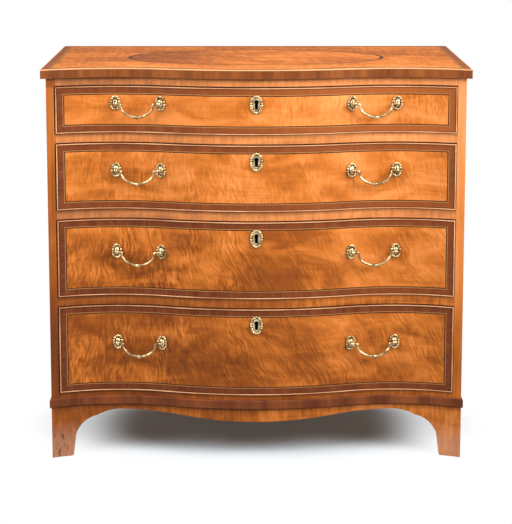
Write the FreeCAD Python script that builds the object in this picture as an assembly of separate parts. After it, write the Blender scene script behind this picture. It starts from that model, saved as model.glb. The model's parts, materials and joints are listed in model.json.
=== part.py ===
import FreeCAD, Part
import math
import os

from FreeCAD import Vector

# Serpentine chest of four drawers on bracket feet, in millimetres.
# The origin is on the floor under the middle of the chest, +X to the viewer's right,
# -Y towards the viewer and +Z up.

# Case
CASE_WIDTH = 895.0
CASE_DEPTH = 560.0  # crest of the front's bow to the back
SIDE_THICKNESS = 18.0
TOP_THICKNESS = 20.0
TOP_OVERHANG = 10.0  # past the front and both sides
BACK_THICKNESS = 10.0
BACK_REBATE = 9.0  # how far the back boards are let into each side
BACK_BOARD_COUNT = 4
BACK_BOARD_LAP = 6.0
BACK_BOARD_GAP = 0.2  # shrinkage gap at each lap

# Serpentine front, a bow between two hollows
HOLLOW_X = 299.0  # middle of the chest to the deepest line of a hollow
BOW_DEPTH = 46.6  # crest of the bow to the deepest line of a hollow
HOLLOW_RADIUS = 340.0

# Heights, from the floor up
FOOT_HEIGHT = 113.0
MOULDING_HEIGHT = 20.0
BOTTOM_RAIL_HEIGHT = 11.0
DRAWER_4_HEIGHT = 191.0
DRAWER_3_HEIGHT = 168.0
DRAWER_2_HEIGHT = 143.0
DRAWER_1_HEIGHT = 100.0
RAIL_HEIGHT = 21.0
TOP_RAIL_HEIGHT = 19.0

# Rails, runners and dust panels
RAIL_DEPTH = 105.0  # crest of the bow to the straight back of a rail
TENON_LENGTH = 8.0
TENON_SETBACK = 12.0
TENON_SHOULDER = 3.0
RUNNER_WIDTH = 50.0
DUST_PANEL_THICKNESS = 7.0
DUST_PANEL_TONGUE = 8.0
STOP_X = 190.0
STOP_LENGTH = 45.0
STOP_WIDTH = 25.0
STOP_HEIGHT = 6.0
STOP_CLEARANCE = 0.3

# Base frame with its moulded edge, apron and feet
MOULDING_PROUD = 3.5
MOULDING_EASE = 2.0
FRAME_SIDE_WIDTH = 42.0
FRAME_FRONT_DEPTH = 95.0
APRON_THICKNESS = 20.0
FOOT_WIDTH = 44.5  # at the floor
FOOT_TAPER = 5.0
FOOT_STRAIGHT = 43.0
BRACKET_WIDTH = 97.5  # outer face to the small step in the bracket
BRACKET_STEP_DROP = 13.0  # crown of the arch down to that step
BRACKET_HOLLOW = 10.0
ARCH_WIDTH = 148.5  # outer face to the highest line of the arch
ARCH_COVER = 11.0  # wood left over the crown of the arch
ARCH_HOLLOW = 3.0
APRON_SWELL = 17.5  # crown of the arch down to the lower edge at the middle
REAR_FOOT_THICKNESS = 18.0
REAR_FOOT_WIDTH = 62.0
REAR_FOOT_TOE = 38.0
FOOT_BLOCK = 20.0
FOOT_BLOCK_LIFT = 4.0

# Drawers
DRAWER_GAP = 1.0  # all round a drawer front in its opening
DRAWER_BACK_ROOM = 12.0
FRONT_THICKNESS = 22.0
FRONT_JOINT_X = 125.0  # middle of a front to the glued joints between its three lengths
LINING_THICKNESS = 10.0
LINING_DROP = 2.0  # sides end this far below the top of the front
BACK_DROP = 6.0  # back ends this far below the top of the sides
BOTTOM_THICKNESS = 6.0
BOTTOM_LIFT = 9.0  # underside of the bottom above the runners
BOTTOM_GROOVE = 4.5
BEAD_THICKNESS = 2.4
BEAD_DEPTH = 10.0
BEAD_PROUD = 2.0
BEAD_EASE = 0.7
DOVETAIL_LAP = 2.4  # wood left between the bead's rebate and the tails
DOVETAIL_PITCH = 44.0
DOVETAIL_SHARE = 0.56
DOVETAIL_ANGLE = 9.0

# Locks and escutcheons
LOCK_WIDTH = 60.0
LOCK_HEIGHT = 49.0
LOCK_WALL = 2.0
LOCK_COVER = 1.5  # wood left between the bead's rebate and the lock
BOLT_WIDTH = 26.0
BOLT_HEIGHT = 36.0
BOLT_THROW = 8.0
BOLT_CLEARANCE = 0.2
BOLT_NOTCH_WIDTH = 16.0
BOLT_NOTCH_HEIGHT = 10.0
MORTISE_CLEARANCE = 1.0
KEY_DROP = 35.0  # top of the drawer front to the middle of the escutcheon
KEYHOLE_HEIGHT = 18.6
KEYHOLE_RADIUS = 4.0
KEYHOLE_SLOT = 5.0
KEYHOLE_SPARE = 2.5  # the hole in the wood is this much wider, under the plate
KEY_PIN_RADIUS = 1.75
KEY_SPACE_WIDTH = 18.0
ESCUTCHEON_WIDTH = 28.0
ESCUTCHEON_HEIGHT = 41.0
ESCUTCHEON_PLATE = 1.2
ESCUTCHEON_RIM = 2.6  # height of the rim over the drawer front
ESCUTCHEON_RIM_WIDTH = 3.2
ESCUTCHEON_WELL_WIDTH = 2.2  # sunk ring inside the rim
ESCUTCHEON_BOSS = 2.2  # height of the raised middle round the keyhole
PLATE_BEVEL = 1.0  # width of the slopes on keyhole plates and rosettes

# Handles
HANDLE_X = 254.0
HANDLE_RISE = 14.0  # pivots above the middle of the drawer front
HANDLE_SPREAD = 97.5  # between the two posts, measured across the chest
POST_REACH = 15.5  # drawer face to the middle of the ball
POST_BALL_RADIUS = 5.5
POST_NECK_RADIUS = 2.8
POST_COLLAR_RADIUS = 4.6
POST_COLLAR_HEIGHT = 2.2
POST_SHANK_RADIUS = 2.5
POST_TAIL = 1.5  # shank past its nut
SHANK_CLEARANCE = 0.1
NUT_RADIUS = 7.0
NUT_THICKNESS = 3.0
ROSETTE_WIDTH = 20.0
ROSETTE_HEIGHT = 30.0
ROSETTE_EDGE = 1.2
ROSETTE_RING = 3.2  # height of the raised ring round its edge
ROSETTE_RING_WIDTH = 3.4
ROSETTE_WELL = 1.4  # height of the sunk middle that the post's collar stands on
SEAT_CLEARANCE = 0.2  # flat fittings on the curved face
BAIL_RADIUS = 2.6
BAIL_PIN_RADIUS = 2.0
BAIL_PIN_CLEARANCE = 0.05
BAIL_PIN_REACH = 2.5  # pin past the middle of the ball
BAIL_NECK = 8.2  # middle of the ball to the bend
BAIL_BEND = 3.4
BAIL_DROP = 28.5
BAIL_FLAT = 5.5  # the side arcs would end this much above the foot of the bail
KNOP_RADIUS = 3.8
KNOP_LENGTH = 9.0
KNOP_COLLAR_RADIUS = 3.2
KNOP_COLLAR_LENGTH = 1.4
KNOP_BEAD_RADIUS = 2.4
KNOP_BEAD_DROP = 3.0  # middle of the bail to the middle of the bead under it

# Places that follow from the sizes
DRAWER_HEIGHTS = {
    1: DRAWER_1_HEIGHT,
    2: DRAWER_2_HEIGHT,
    3: DRAWER_3_HEIGHT,
    4: DRAWER_4_HEIGHT,
}
BACK_Y = (CASE_DEPTH + TOP_OVERHANG) / 2
CREST_Y = BACK_Y - CASE_DEPTH
BOW_RADIUS = (HOLLOW_X**2 + BOW_DEPTH**2) / (2 * BOW_DEPTH) - HOLLOW_RADIUS
CASE_HALF = CASE_WIDTH / 2
OPENING_HALF = CASE_HALF - SIDE_THICKNESS
DRAWER_HALF = OPENING_HALF - DRAWER_GAP
CASE_BOTTOM = FOOT_HEIGHT + MOULDING_HEIGHT
ARCH_HEIGHT = FOOT_HEIGHT - ARCH_COVER
RAIL_BACK_Y = CREST_Y + RAIL_DEPTH
BACK_FACE_Y = BACK_Y - BACK_THICKNESS
DRAWER_BACK_Y = BACK_FACE_Y - DRAWER_BACK_ROOM
FRAME_HALF = CASE_HALF + MOULDING_PROUD
LOCK_BACK_Y = CREST_Y + FRONT_THICKNESS
LOCK_FRONT_Y = CREST_Y + BEAD_DEPTH + LOCK_COVER
KEYHOLE_RISE = KEYHOLE_HEIGHT / 2 - KEYHOLE_RADIUS
BEYOND = 5.0  # extra length of a cutting tool past the wood
TOUCH = 0.01  # how near an edge lies to a surface that it belongs to


def opening_floors():
    """Height of the runners of each drawer, keyed by the drawer's number from the top."""
    floors = {}
    level = CASE_BOTTOM + BOTTOM_RAIL_HEIGHT
    for number in sorted(DRAWER_HEIGHTS, reverse=True):
        floors[number] = level
        level += DRAWER_HEIGHTS[number] + 2 * DRAWER_GAP + RAIL_HEIGHT
    return floors


FLOORS = opening_floors()
TOP_RAIL_LOW = FLOORS[1] + DRAWER_HEIGHTS[1] + 2 * DRAWER_GAP
CASE_TOP = TOP_RAIL_LOW + TOP_RAIL_HEIGHT


def turn_x(proud):
    """Where the bow runs into a hollow, on a line standing proud of the case front."""
    return HOLLOW_X * (BOW_RADIUS + proud) / (BOW_RADIUS + HOLLOW_RADIUS)


def front_y(x, proud=0.0):
    """The front's place at x, on a line standing proud of the case front."""
    if abs(x) <= turn_x(proud):
        return CREST_Y + BOW_RADIUS - math.sqrt((BOW_RADIUS + proud) ** 2 - x**2)
    across = abs(x) - HOLLOW_X
    return CREST_Y + BOW_DEPTH - HOLLOW_RADIUS + math.sqrt((HOLLOW_RADIUS - proud) ** 2 - across**2)


def clear_of_front(half, proud):
    """A line just in front of everything on the serpentine line within half the width."""
    return min(front_y(0.0, proud), front_y(half, proud)) - BEYOND


def front_angle(x):
    """Angle of the front's tangent at x, in degrees about +Z."""
    if abs(x) <= turn_x(0.0):
        return math.degrees(math.asin(x / BOW_RADIUS))
    lean = math.degrees(math.asin((abs(x) - HOLLOW_X) / HOLLOW_RADIUS))
    return -math.copysign(lean, x * lean)


def box(left, right, front, back, low, high):
    """A squared block between two corners."""
    return Part.makeBox(right - left, back - front, high - low, Vector(left, front, low))


def front_edges(left, right, proud):
    """Arcs of the serpentine line from left to right."""
    turn = turn_x(proud)
    stops = [left] + [x for x in (-turn, turn) if left < x < right] + [right]
    edges = []
    for start, end in zip(stops, stops[1:]):
        places = (start, (start + end) / 2, end)
        points = [Vector(x, front_y(x, proud), 0) for x in places]
        edges.append(Part.Arc(*points).toShape())
    return edges


def upright(edges, low, high):
    """A solid with the plan outline of the given edges, from low to high."""
    wire = Part.Wire(Part.__sortEdges__(edges))
    face = Part.Face(wire)
    face.translate(Vector(0, 0, low))
    return face.extrude(Vector(0, 0, high - low))


def serpentine_strip(left, right, proud_front, proud_back, low, high):
    """A strip of even thickness that follows the serpentine line."""
    edges = front_edges(left, right, proud_front) + front_edges(left, right, proud_back)
    for x in (left, right):
        near = Vector(x, front_y(x, proud_front), 0)
        far = Vector(x, front_y(x, proud_back), 0)
        edges.append(Part.makeLine(near, far))
    return upright(edges, low, high)


def serpentine_board(left, right, proud, back, low, high):
    """A board with a serpentine front edge and a straight back edge."""
    edges = front_edges(left, right, proud)
    corners = [
        Vector(right, front_y(right, proud), 0),
        Vector(right, back, 0),
        Vector(left, back, 0),
        Vector(left, front_y(left, proud), 0),
    ]
    for start, end in zip(corners, corners[1:]):
        edges.append(Part.makeLine(start, end))
    return upright(edges, low, high)


def on_front(shape, x, z):
    """Stand a fitting made about the origin on the drawer fronts at x and z."""
    placed = shape.copy()
    placed.rotate(Vector(0, 0, 0), Vector(0, 0, 1), front_angle(x))
    placed.translate(Vector(x, front_y(x), z))
    return placed


def turned(profile):
    """A turned fitting about the Y axis from (radius, distance out of the face) points."""
    points = [Vector(radius, -reach, 0) for radius, reach in profile]
    outline = Part.Face(Part.makePolygon(points + points[:1]))
    return outline.revolve(Vector(0, 0, 0), Vector(0, 1, 0), 360)


def oval_wire(width, height, reach):
    """An upright oval, reach millimetres out of the face."""
    oval = Part.Ellipse(Vector(0, -reach, height / 2), Vector(width / 2, -reach, 0), Vector(0, -reach, 0))
    return Part.Wire(oval.toShape())


def stepped_oval(width, height, profile):
    """An oval plate whose face steps in and out, from (inset, distance out of the face) pairs."""
    rings = [oval_wire(width - 2 * inset, height - 2 * inset, reach) for inset, reach in profile]
    return Part.makeLoft(rings, True, True)


def front_prism(points, near, far):
    """A cutter with an (x, z) outline that runs from near to far in Y."""
    corners = [Vector(x, near, z) for x, z in points]
    face = Part.Face(Part.makePolygon(corners + corners[:1]))
    return face.extrude(Vector(0, far - near, 0))


def bolt_y():
    """Front and back of the lock bolts."""
    front = LOCK_FRONT_Y + LOCK_WALL + BOLT_CLEARANCE
    return front, LOCK_BACK_Y - LOCK_WALL - BOLT_CLEARANCE


def bolt_mortise(low):
    """The pocket in the underside of a rail that takes the lock bolt of the drawer below."""
    front, back = bolt_y()
    reach = BOLT_WIDTH / 2 + MORTISE_CLEARANCE
    return box(
        -reach, reach, front - MORTISE_CLEARANCE, back + MORTISE_CLEARANCE, low, low + BOLT_THROW
    )


def rail(low, height):
    """A rail between the sides, with a stub tenon at each end that stays short of the face."""
    wood = serpentine_board(-OPENING_HALF, OPENING_HALF, 0.0, RAIL_BACK_Y, low, low + height)
    tenon_front = front_y(OPENING_HALF) + TENON_SETBACK
    tenons = box(
        -OPENING_HALF - TENON_LENGTH,
        OPENING_HALF + TENON_LENGTH,
        tenon_front,
        RAIL_BACK_Y,
        low + TENON_SHOULDER,
        low + height - TENON_SHOULDER,
    )
    kept = box(-OPENING_HALF, OPENING_HALF, tenon_front, RAIL_BACK_Y, low, low + height)
    return wood.fuse(tenons.cut(kept)).removeSplitter()


def rail_lows():
    """Undersides of the rails between drawers, from the top down."""
    return [FLOORS[number] - RAIL_HEIGHT for number in sorted(FLOORS)[:-1]]


def dust_panel(low):
    """A thin panel let into the rail and runners at a rail's height."""
    half = OPENING_HALF - RUNNER_WIDTH + DUST_PANEL_TONGUE
    middle = low + RAIL_HEIGHT / 2
    return box(
        -half,
        half,
        RAIL_BACK_Y - DUST_PANEL_TONGUE,
        BACK_FACE_Y,
        middle - DUST_PANEL_THICKNESS / 2,
        middle + DUST_PANEL_THICKNESS / 2,
    )


def runner(side, low, height):
    """A strip along one case side, level with a rail."""
    inner = OPENING_HALF - RUNNER_WIDTH
    ends = sorted((side * inner, side * OPENING_HALF))
    return box(ends[0], ends[1], RAIL_BACK_Y, BACK_FACE_Y, low, low + height)


def runners_and_kickers():
    """Grooved runners for the upper three drawers and plain kickers over the top one."""
    strips = []
    for low in rail_lows():
        for side in (-1, 1):
            strips.append(runner(side, low, RAIL_HEIGHT).cut(dust_panel(low)))
    for side in (-1, 1):
        strips.append(runner(side, TOP_RAIL_LOW, TOP_RAIL_HEIGHT))
    return strips


def drawer_stops():
    """Blocks on the rails that meet the inner face of each drawer front."""
    blocks = []
    proud = -FRONT_THICKNESS - STOP_CLEARANCE
    for number in sorted(FLOORS):
        low = FLOORS[number]
        for middle in (-STOP_X, STOP_X):
            left = middle - STOP_LENGTH / 2
            right = middle + STOP_LENGTH / 2
            blocks.append(serpentine_strip(left, right, proud, proud - STOP_WIDTH, low, low + STOP_HEIGHT))
    return blocks


def case_side(side, housed):
    """A case side, shaped to the front, housed for the rails and rebated for the back."""
    ends = sorted((side * OPENING_HALF, side * CASE_HALF))
    wood = serpentine_board(ends[0], ends[1], 0.0, BACK_Y, CASE_BOTTOM, CASE_TOP)
    rebate = sorted((side * OPENING_HALF, side * (OPENING_HALF + BACK_REBATE)))
    wood = wood.cut(box(rebate[0], rebate[1], BACK_FACE_Y, BACK_Y, CASE_BOTTOM, CASE_TOP))
    return wood.cut(housed)


def back_boards():
    """Upright boards, half lapped, let into the rebates of the sides."""
    half = OPENING_HALF + BACK_REBATE
    width = 2 * half / BACK_BOARD_COUNT
    lap_y = (BACK_FACE_Y + BACK_Y) / 2
    boards = []
    for index in range(BACK_BOARD_COUNT):
        left = -half + index * width
        right = left + width
        board = box(left, right, BACK_FACE_Y, BACK_Y, CASE_BOTTOM, CASE_TOP)
        if index > 0:
            clear = left + BACK_BOARD_LAP + BACK_BOARD_GAP
            board = board.cut(box(left, clear, lap_y, BACK_Y, CASE_BOTTOM, CASE_TOP))
        if index < BACK_BOARD_COUNT - 1:
            board = board.cut(box(right - BACK_BOARD_GAP, right, BACK_FACE_Y, lap_y, CASE_BOTTOM, CASE_TOP))
            tongue = box(right - BACK_BOARD_GAP, right + BACK_BOARD_LAP, lap_y, BACK_Y, CASE_BOTTOM, CASE_TOP)
            board = board.fuse(tongue).removeSplitter()
        boards.append(board)
    return boards


def bottom_board():
    """The case bottom behind the bottom rail, which carries the lowest drawer."""
    return box(
        -OPENING_HALF,
        OPENING_HALF,
        RAIL_BACK_Y,
        BACK_FACE_Y,
        CASE_BOTTOM,
        CASE_BOTTOM + BOTTOM_RAIL_HEIGHT,
    )


def eased_nose(length, on_nose):
    """Take off the level edges of a base length that the on_nose test picks out."""
    edges = []
    for edge in length.Edges:
        middle = edge.valueAt((edge.FirstParameter + edge.LastParameter) / 2)
        level = edge.BoundBox.ZLength < MOULDING_HEIGHT / 2
        if level and on_nose(middle):
            edges.append(edge)
    return length.makeChamfer(MOULDING_EASE, edges)


def base_frame():
    """The moulded frame under the case: a front length and two side lengths, mitred."""
    inner = FRAME_HALF - FRAME_SIDE_WIDTH
    inner_front = CREST_Y + FRAME_FRONT_DEPTH
    corner_y = front_y(FRAME_HALF, MOULDING_PROUD)
    lean = (inner_front - corner_y) / FRAME_SIDE_WIDTH
    long_half = FRAME_HALF + BEYOND
    front = serpentine_board(-long_half, long_half, MOULDING_PROUD, inner_front, FOOT_HEIGHT, CASE_BOTTOM)
    front = eased_nose(front, lambda at: at.y < front_y(at.x, MOULDING_PROUD) + TOUCH)
    sides = []
    for side in (-1, 1):
        left, right = sorted((side * inner, side * FRAME_HALF))
        near = clear_of_front(FRAME_HALF, MOULDING_PROUD)
        length = box(left, right, near, BACK_Y, FOOT_HEIGHT, CASE_BOTTOM)
        length = eased_nose(length, lambda at: abs(at.x) > FRAME_HALF - TOUCH)
        far = FRAME_HALF + 2 * BEYOND
        outline = [
            Vector(side * inner, inner_front, 0),
            Vector(side * far, corner_y - 2 * lean * BEYOND, 0),
            Vector(side * far, BACK_Y, 0),
            Vector(side * inner, BACK_Y, 0),
        ]
        region = upright(Part.makePolygon(outline + outline[:1]).Edges, FOOT_HEIGHT, CASE_BOTTOM)
        sides.append(length.common(region))
        front = front.cut(region)
    return [front] + sides


def bulged_arc(start, end, bulge):
    """An arc between two (along, up) points, bulging to the left of the way it runs."""
    along = end[0] - start[0]
    up = end[1] - start[1]
    chord = math.hypot(along, up)
    middle = ((start[0] + end[0]) / 2 - up / chord * bulge, (start[1] + end[1]) / 2 + along / chord * bulge)
    return start, middle, end


def bracket_curves():
    """Inner edge of a bracket foot, as distances in from its outer face and up from the floor."""
    toe = (FOOT_WIDTH, 0.0)
    knee = (FOOT_WIDTH + FOOT_TAPER, FOOT_STRAIGHT)
    step = (BRACKET_WIDTH, ARCH_HEIGHT - BRACKET_STEP_DROP)
    crown = (ARCH_WIDTH, ARCH_HEIGHT)
    return [(toe, knee), bulged_arc(knee, step, BRACKET_HOLLOW), bulged_arc(step, crown, ARCH_HOLLOW)]


def curve_edges(curves, place):
    """Lines and arcs through (along, up) points that the place function puts in space."""
    edges = []
    for curve in curves:
        points = [place(along, up) for along, up in curve]
        if len(points) == 2:
            edges.append(Part.makeLine(*points))
        else:
            edges.append(Part.Arc(*points).toShape())
    return edges


def apron_swell():
    """The two tangent arcs from the arch's crown down to the middle of the apron."""
    run = CASE_HALF - ARCH_WIDTH
    radius = (run**2 + APRON_SWELL**2) / (4 * APRON_SWELL)
    sag = radius - math.sqrt(radius**2 - (run / 4) ** 2)
    low = ARCH_HEIGHT - APRON_SWELL
    crown = (ARCH_WIDTH, ARCH_HEIGHT)
    middle = (ARCH_WIDTH + run / 2, (ARCH_HEIGHT + low) / 2)
    end = (CASE_HALF, low)
    upper = (ARCH_WIDTH + run / 4, ARCH_HEIGHT - sag)
    lower = (CASE_HALF - run / 4, low + sag)
    return [(crown, upper, middle), (middle, lower, end)]


def side_plank(side):
    """The board of a side apron before its arch, mitred to the front apron."""
    inner = CASE_HALF - APRON_THICKNESS
    corners = [
        Vector(side * CASE_HALF, front_y(CASE_HALF), 0),
        Vector(side * inner, front_y(inner, -APRON_THICKNESS), 0),
        Vector(side * inner, BACK_Y, 0),
        Vector(side * CASE_HALF, BACK_Y, 0),
    ]
    return upright(Part.makePolygon(corners + corners[:1]).Edges, 0.0, FOOT_HEIGHT)


def front_apron():
    """The serpentine apron and the faces of the two front feet, in one piece."""
    wood = serpentine_strip(-CASE_HALF, CASE_HALF, 0.0, -APRON_THICKNESS, 0.0, FOOT_HEIGHT)
    wood = wood.cut([side_plank(side) for side in (-1, 1)])
    near = clear_of_front(CASE_HALF, 0.0)
    curves = bracket_curves() + apron_swell()
    edges = []
    for side in (-1, 1):
        edges += curve_edges(curves, lambda along, up: Vector(side * (CASE_HALF - along), near, up))
    toe = CASE_HALF - FOOT_WIDTH
    edges.append(Part.makeLine(Vector(-toe, near, 0), Vector(toe, near, 0)))
    arch = Part.Face(Part.Wire(Part.__sortEdges__(edges)))
    return wood.cut(arch.extrude(Vector(0, RAIL_BACK_Y - near, 0)))


def side_apron(side):
    """One side of the base with the side faces of a front and a rear foot."""
    front = front_y(CASE_HALF)
    near = min(side * (CASE_HALF - APRON_THICKNESS), side * CASE_HALF) - BEYOND
    edges = curve_edges(bracket_curves(), lambda along, up: Vector(near, front + along, up))
    edges += curve_edges(bracket_curves(), lambda along, up: Vector(near, BACK_Y - along, up))
    lines = ((FOOT_WIDTH, 0.0), (ARCH_WIDTH, ARCH_HEIGHT))
    for along, up in lines:
        edges.append(Part.makeLine(Vector(near, front + along, up), Vector(near, BACK_Y - along, up)))
    arch = Part.Face(Part.Wire(Part.__sortEdges__(edges)))
    return side_plank(side).cut(arch.extrude(Vector(APRON_THICKNESS + 2 * BEYOND, 0, 0)))


def rear_foot(side):
    """The plain sloped board across the back of a rear foot."""
    outer = CASE_HALF - APRON_THICKNESS
    outline = [
        (side * outer, 0.0),
        (side * (outer - REAR_FOOT_TOE), 0.0),
        (side * (outer - REAR_FOOT_WIDTH), FOOT_HEIGHT),
        (side * outer, FOOT_HEIGHT),
    ]
    return front_prism(outline, BACK_Y - REAR_FOOT_THICKNESS, BACK_Y)


def foot_blocks():
    """Glue blocks in the angle of each foot, just clear of the floor."""
    outer = CASE_HALF - APRON_THICKNESS
    blocks = []
    for side in (-1, 1):
        left, right = sorted((side * (outer - FOOT_BLOCK), side * outer))
        front = front_y(outer, -APRON_THICKNESS) + FOOT_BLOCK
        blocks.append(serpentine_board(left, right, -APRON_THICKNESS, front, FOOT_BLOCK_LIFT, FOOT_HEIGHT))
        back = BACK_Y - REAR_FOOT_THICKNESS
        blocks.append(box(left, right, back - FOOT_BLOCK, back, FOOT_BLOCK_LIFT, FOOT_HEIGHT))
    return blocks


def drawer_levels(number):
    """Runner level, lower edge and upper edge of a drawer front."""
    floor = FLOORS[number]
    low = floor + DRAWER_GAP
    return floor, low, low + DRAWER_HEIGHTS[number]


def eased_bead(bead):
    """Take the long front edges off a bead."""
    edges = []
    for edge in bead.Edges:
        middle = edge.valueAt((edge.FirstParameter + edge.LastParameter) / 2)
        at_front = middle.y < front_y(middle.x, BEAD_PROUD) + TOUCH
        if at_front and edge.Length > 2 * BEAD_THICKNESS:
            edges.append(edge)
    return bead.makeChamfer(BEAD_EASE, edges)


def cockbeads(number):
    """Four mitred beads let into the edges of a drawer front and standing proud of it."""
    floor, low, high = drawer_levels(number)
    layer = serpentine_strip(-DRAWER_HALF, DRAWER_HALF, BEAD_PROUD, -BEAD_DEPTH, low, high)
    half = DRAWER_HALF
    inner = half - BEAD_THICKNESS
    corners = [(-half, low), (half, low), (half, high), (-half, high)]
    mitres = [
        (-inner, low + BEAD_THICKNESS),
        (inner, low + BEAD_THICKNESS),
        (inner, high - BEAD_THICKNESS),
        (-inner, high - BEAD_THICKNESS),
    ]
    beads = []
    for index in range(len(corners)):
        after = (index + 1) % len(corners)
        outline = [corners[index], corners[after], mitres[after], mitres[index]]
        cutter = front_prism(outline, clear_of_front(half, BEAD_PROUD), RAIL_BACK_Y)
        beads.append(eased_bead(layer.common(cutter)))
    return beads


def dovetails(side, low, high, root_y, tip_y):
    """Tails that widen from root_y to tip_y, spaced evenly between low and high."""
    count = max(2, round((high - low) / DOVETAIL_PITCH))
    pitch = (high - low) / count
    root = pitch * DOVETAIL_SHARE / 2
    tip = root + abs(tip_y - root_y) * math.tan(math.radians(DOVETAIL_ANGLE))
    left = min(side * DRAWER_HALF, side * (DRAWER_HALF - LINING_THICKNESS))
    tails = []
    for index in range(count):
        middle = low + (index + 0.5) * pitch
        corners = [
            Vector(left, root_y, middle - root),
            Vector(left, root_y, middle + root),
            Vector(left, tip_y, middle + tip),
            Vector(left, tip_y, middle - tip),
        ]
        face = Part.Face(Part.makePolygon(corners + corners[:1]))
        tails.append(face.extrude(Vector(LINING_THICKNESS, 0, 0)))
    return tails


def drawer_back_block(number):
    """The drawer back before its pins are cut; it stands on the drawer bottom."""
    floor, low, high = drawer_levels(number)
    foot = floor + BOTTOM_LIFT + BOTTOM_THICKNESS
    top = high - LINING_DROP - BACK_DROP
    return box(-DRAWER_HALF, DRAWER_HALF, DRAWER_BACK_Y - LINING_THICKNESS, DRAWER_BACK_Y, foot, top)


def drawer_bottom(number):
    """The bottom, let into the front and sides and running under the back."""
    floor, low, high = drawer_levels(number)
    half = DRAWER_HALF - LINING_THICKNESS + BOTTOM_GROOVE
    under = floor + BOTTOM_LIFT
    proud = -(FRONT_THICKNESS - BOTTOM_GROOVE)
    return serpentine_board(-half, half, proud, DRAWER_BACK_Y, under, under + BOTTOM_THICKNESS)


def drawer_side(number, side, bottom):
    """A drawer side with lapped tails to the front and through tails to the back."""
    floor, low, high = drawer_levels(number)
    ends = sorted((side * DRAWER_HALF, side * (DRAWER_HALF - LINING_THICKNESS)))
    tip_y = front_y(DRAWER_HALF, -(BEAD_DEPTH + DOVETAIL_LAP))
    top = high - LINING_DROP
    wood = box(ends[0], ends[1], tip_y, DRAWER_BACK_Y, floor, top)
    pins = serpentine_strip(ends[0], ends[1], 0.0, -FRONT_THICKNESS, floor - BEYOND, high + BEYOND)
    root_y = front_y(DRAWER_HALF - LINING_THICKNESS, -FRONT_THICKNESS)
    wood = wood.cut(pins.cut(dovetails(side, low + BEAD_THICKNESS, top, root_y, tip_y)))
    block = drawer_back_block(number)
    edge = block.BoundBox
    rear_root = DRAWER_BACK_Y - LINING_THICKNESS
    pins = box(ends[0], ends[1], rear_root, DRAWER_BACK_Y, edge.ZMin, high + BEYOND)
    wood = wood.cut(pins.cut(dovetails(side, edge.ZMin, edge.ZMax, rear_root, DRAWER_BACK_Y)))
    return wood.cut(bottom)


def keyhole(near, far, middle, spare=0.0):
    """A keyhole cutter, round at the top, from near to far in Y about the escutcheon's middle."""
    centre = middle + KEYHOLE_RISE
    radius = KEYHOLE_RADIUS + spare
    round_part = Part.makeCylinder(radius, far - near, Vector(0, near, centre), Vector(0, 1, 0))
    half = KEYHOLE_SLOT / 2 + spare
    slot = box(-half, half, near, far, middle - KEYHOLE_HEIGHT / 2 - spare, centre)
    return round_part.fuse(slot).removeSplitter()


def lock_block(high):
    """The outside of a lock, let in flush from behind under the top edge of the front."""
    half = LOCK_WIDTH / 2
    return box(-half, half, LOCK_FRONT_Y, LOCK_BACK_Y, high - LOCK_HEIGHT, high)


def lock(number):
    """A lock case with its bolt way, key space, keyhole and key pin."""
    floor, low, high = drawer_levels(number)
    case = lock_block(high)
    half = BOLT_WIDTH / 2 + BOLT_CLEARANCE
    front = LOCK_FRONT_Y + LOCK_WALL
    back = LOCK_BACK_Y - LOCK_WALL
    case = case.cut(box(-half, half, front, back, high - BOLT_HEIGHT, high))
    key_half = KEY_SPACE_WIDTH / 2
    key_low = high - LOCK_HEIGHT + LOCK_WALL
    case = case.cut(box(-key_half, key_half, front, back, key_low, high - BOLT_HEIGHT))
    case = case.cut(keyhole(LOCK_FRONT_Y, front, high - KEY_DROP))
    centre = high - KEY_DROP + KEYHOLE_RISE
    pin_start = Vector(0, LOCK_FRONT_Y, centre)
    pin = Part.makeCylinder(KEY_PIN_RADIUS, back - LOCK_FRONT_Y, pin_start, Vector(0, 1, 0))
    return case.fuse(pin).removeSplitter()


def lock_bolt(number):
    """The sliding bolt, notched over the key pin."""
    floor, low, high = drawer_levels(number)
    front, back = bolt_y()
    half = BOLT_WIDTH / 2
    foot = high - BOLT_HEIGHT
    notch = BOLT_NOTCH_WIDTH / 2
    bolt = box(-half, half, front, back, foot, high)
    return bolt.cut(box(-notch, notch, front, back, foot, foot + BOLT_NOTCH_HEIGHT))


def escutcheon(number):
    """An oval keyhole plate with a raised rim and middle, on the crest of the bow."""
    floor, low, high = drawer_levels(number)
    boss_inset = ESCUTCHEON_RIM_WIDTH + ESCUTCHEON_WELL_WIDTH
    profile = [
        (0.0, 0.0),
        (0.0, ESCUTCHEON_PLATE),
        (PLATE_BEVEL, ESCUTCHEON_RIM),
        (ESCUTCHEON_RIM_WIDTH - PLATE_BEVEL, ESCUTCHEON_RIM),
        (ESCUTCHEON_RIM_WIDTH, ESCUTCHEON_PLATE),
        (boss_inset, ESCUTCHEON_PLATE),
        (boss_inset + PLATE_BEVEL, ESCUTCHEON_BOSS),
    ]
    metal = stepped_oval(ESCUTCHEON_WIDTH, ESCUTCHEON_HEIGHT, profile)
    metal.translate(Vector(0, CREST_Y, high - KEY_DROP))
    return metal.cut(keyhole(CREST_Y - BEYOND, CREST_Y, high - KEY_DROP))


def pivot_height(number):
    """Height of the handle pivots of a drawer."""
    floor, low, high = drawer_levels(number)
    return (low + high) / 2 + HANDLE_RISE


def post_places(side):
    """Where the two posts of a handle enter the drawer front."""
    return [side * HANDLE_X - HANDLE_SPREAD / 2, side * HANDLE_X + HANDLE_SPREAD / 2]


def ball_centre(x, z):
    """Middle of the ball of the post that stands at x."""
    angle = math.radians(front_angle(x))
    return Vector(x + POST_REACH * math.sin(angle), front_y(x) - POST_REACH * math.cos(angle), z)


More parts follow.
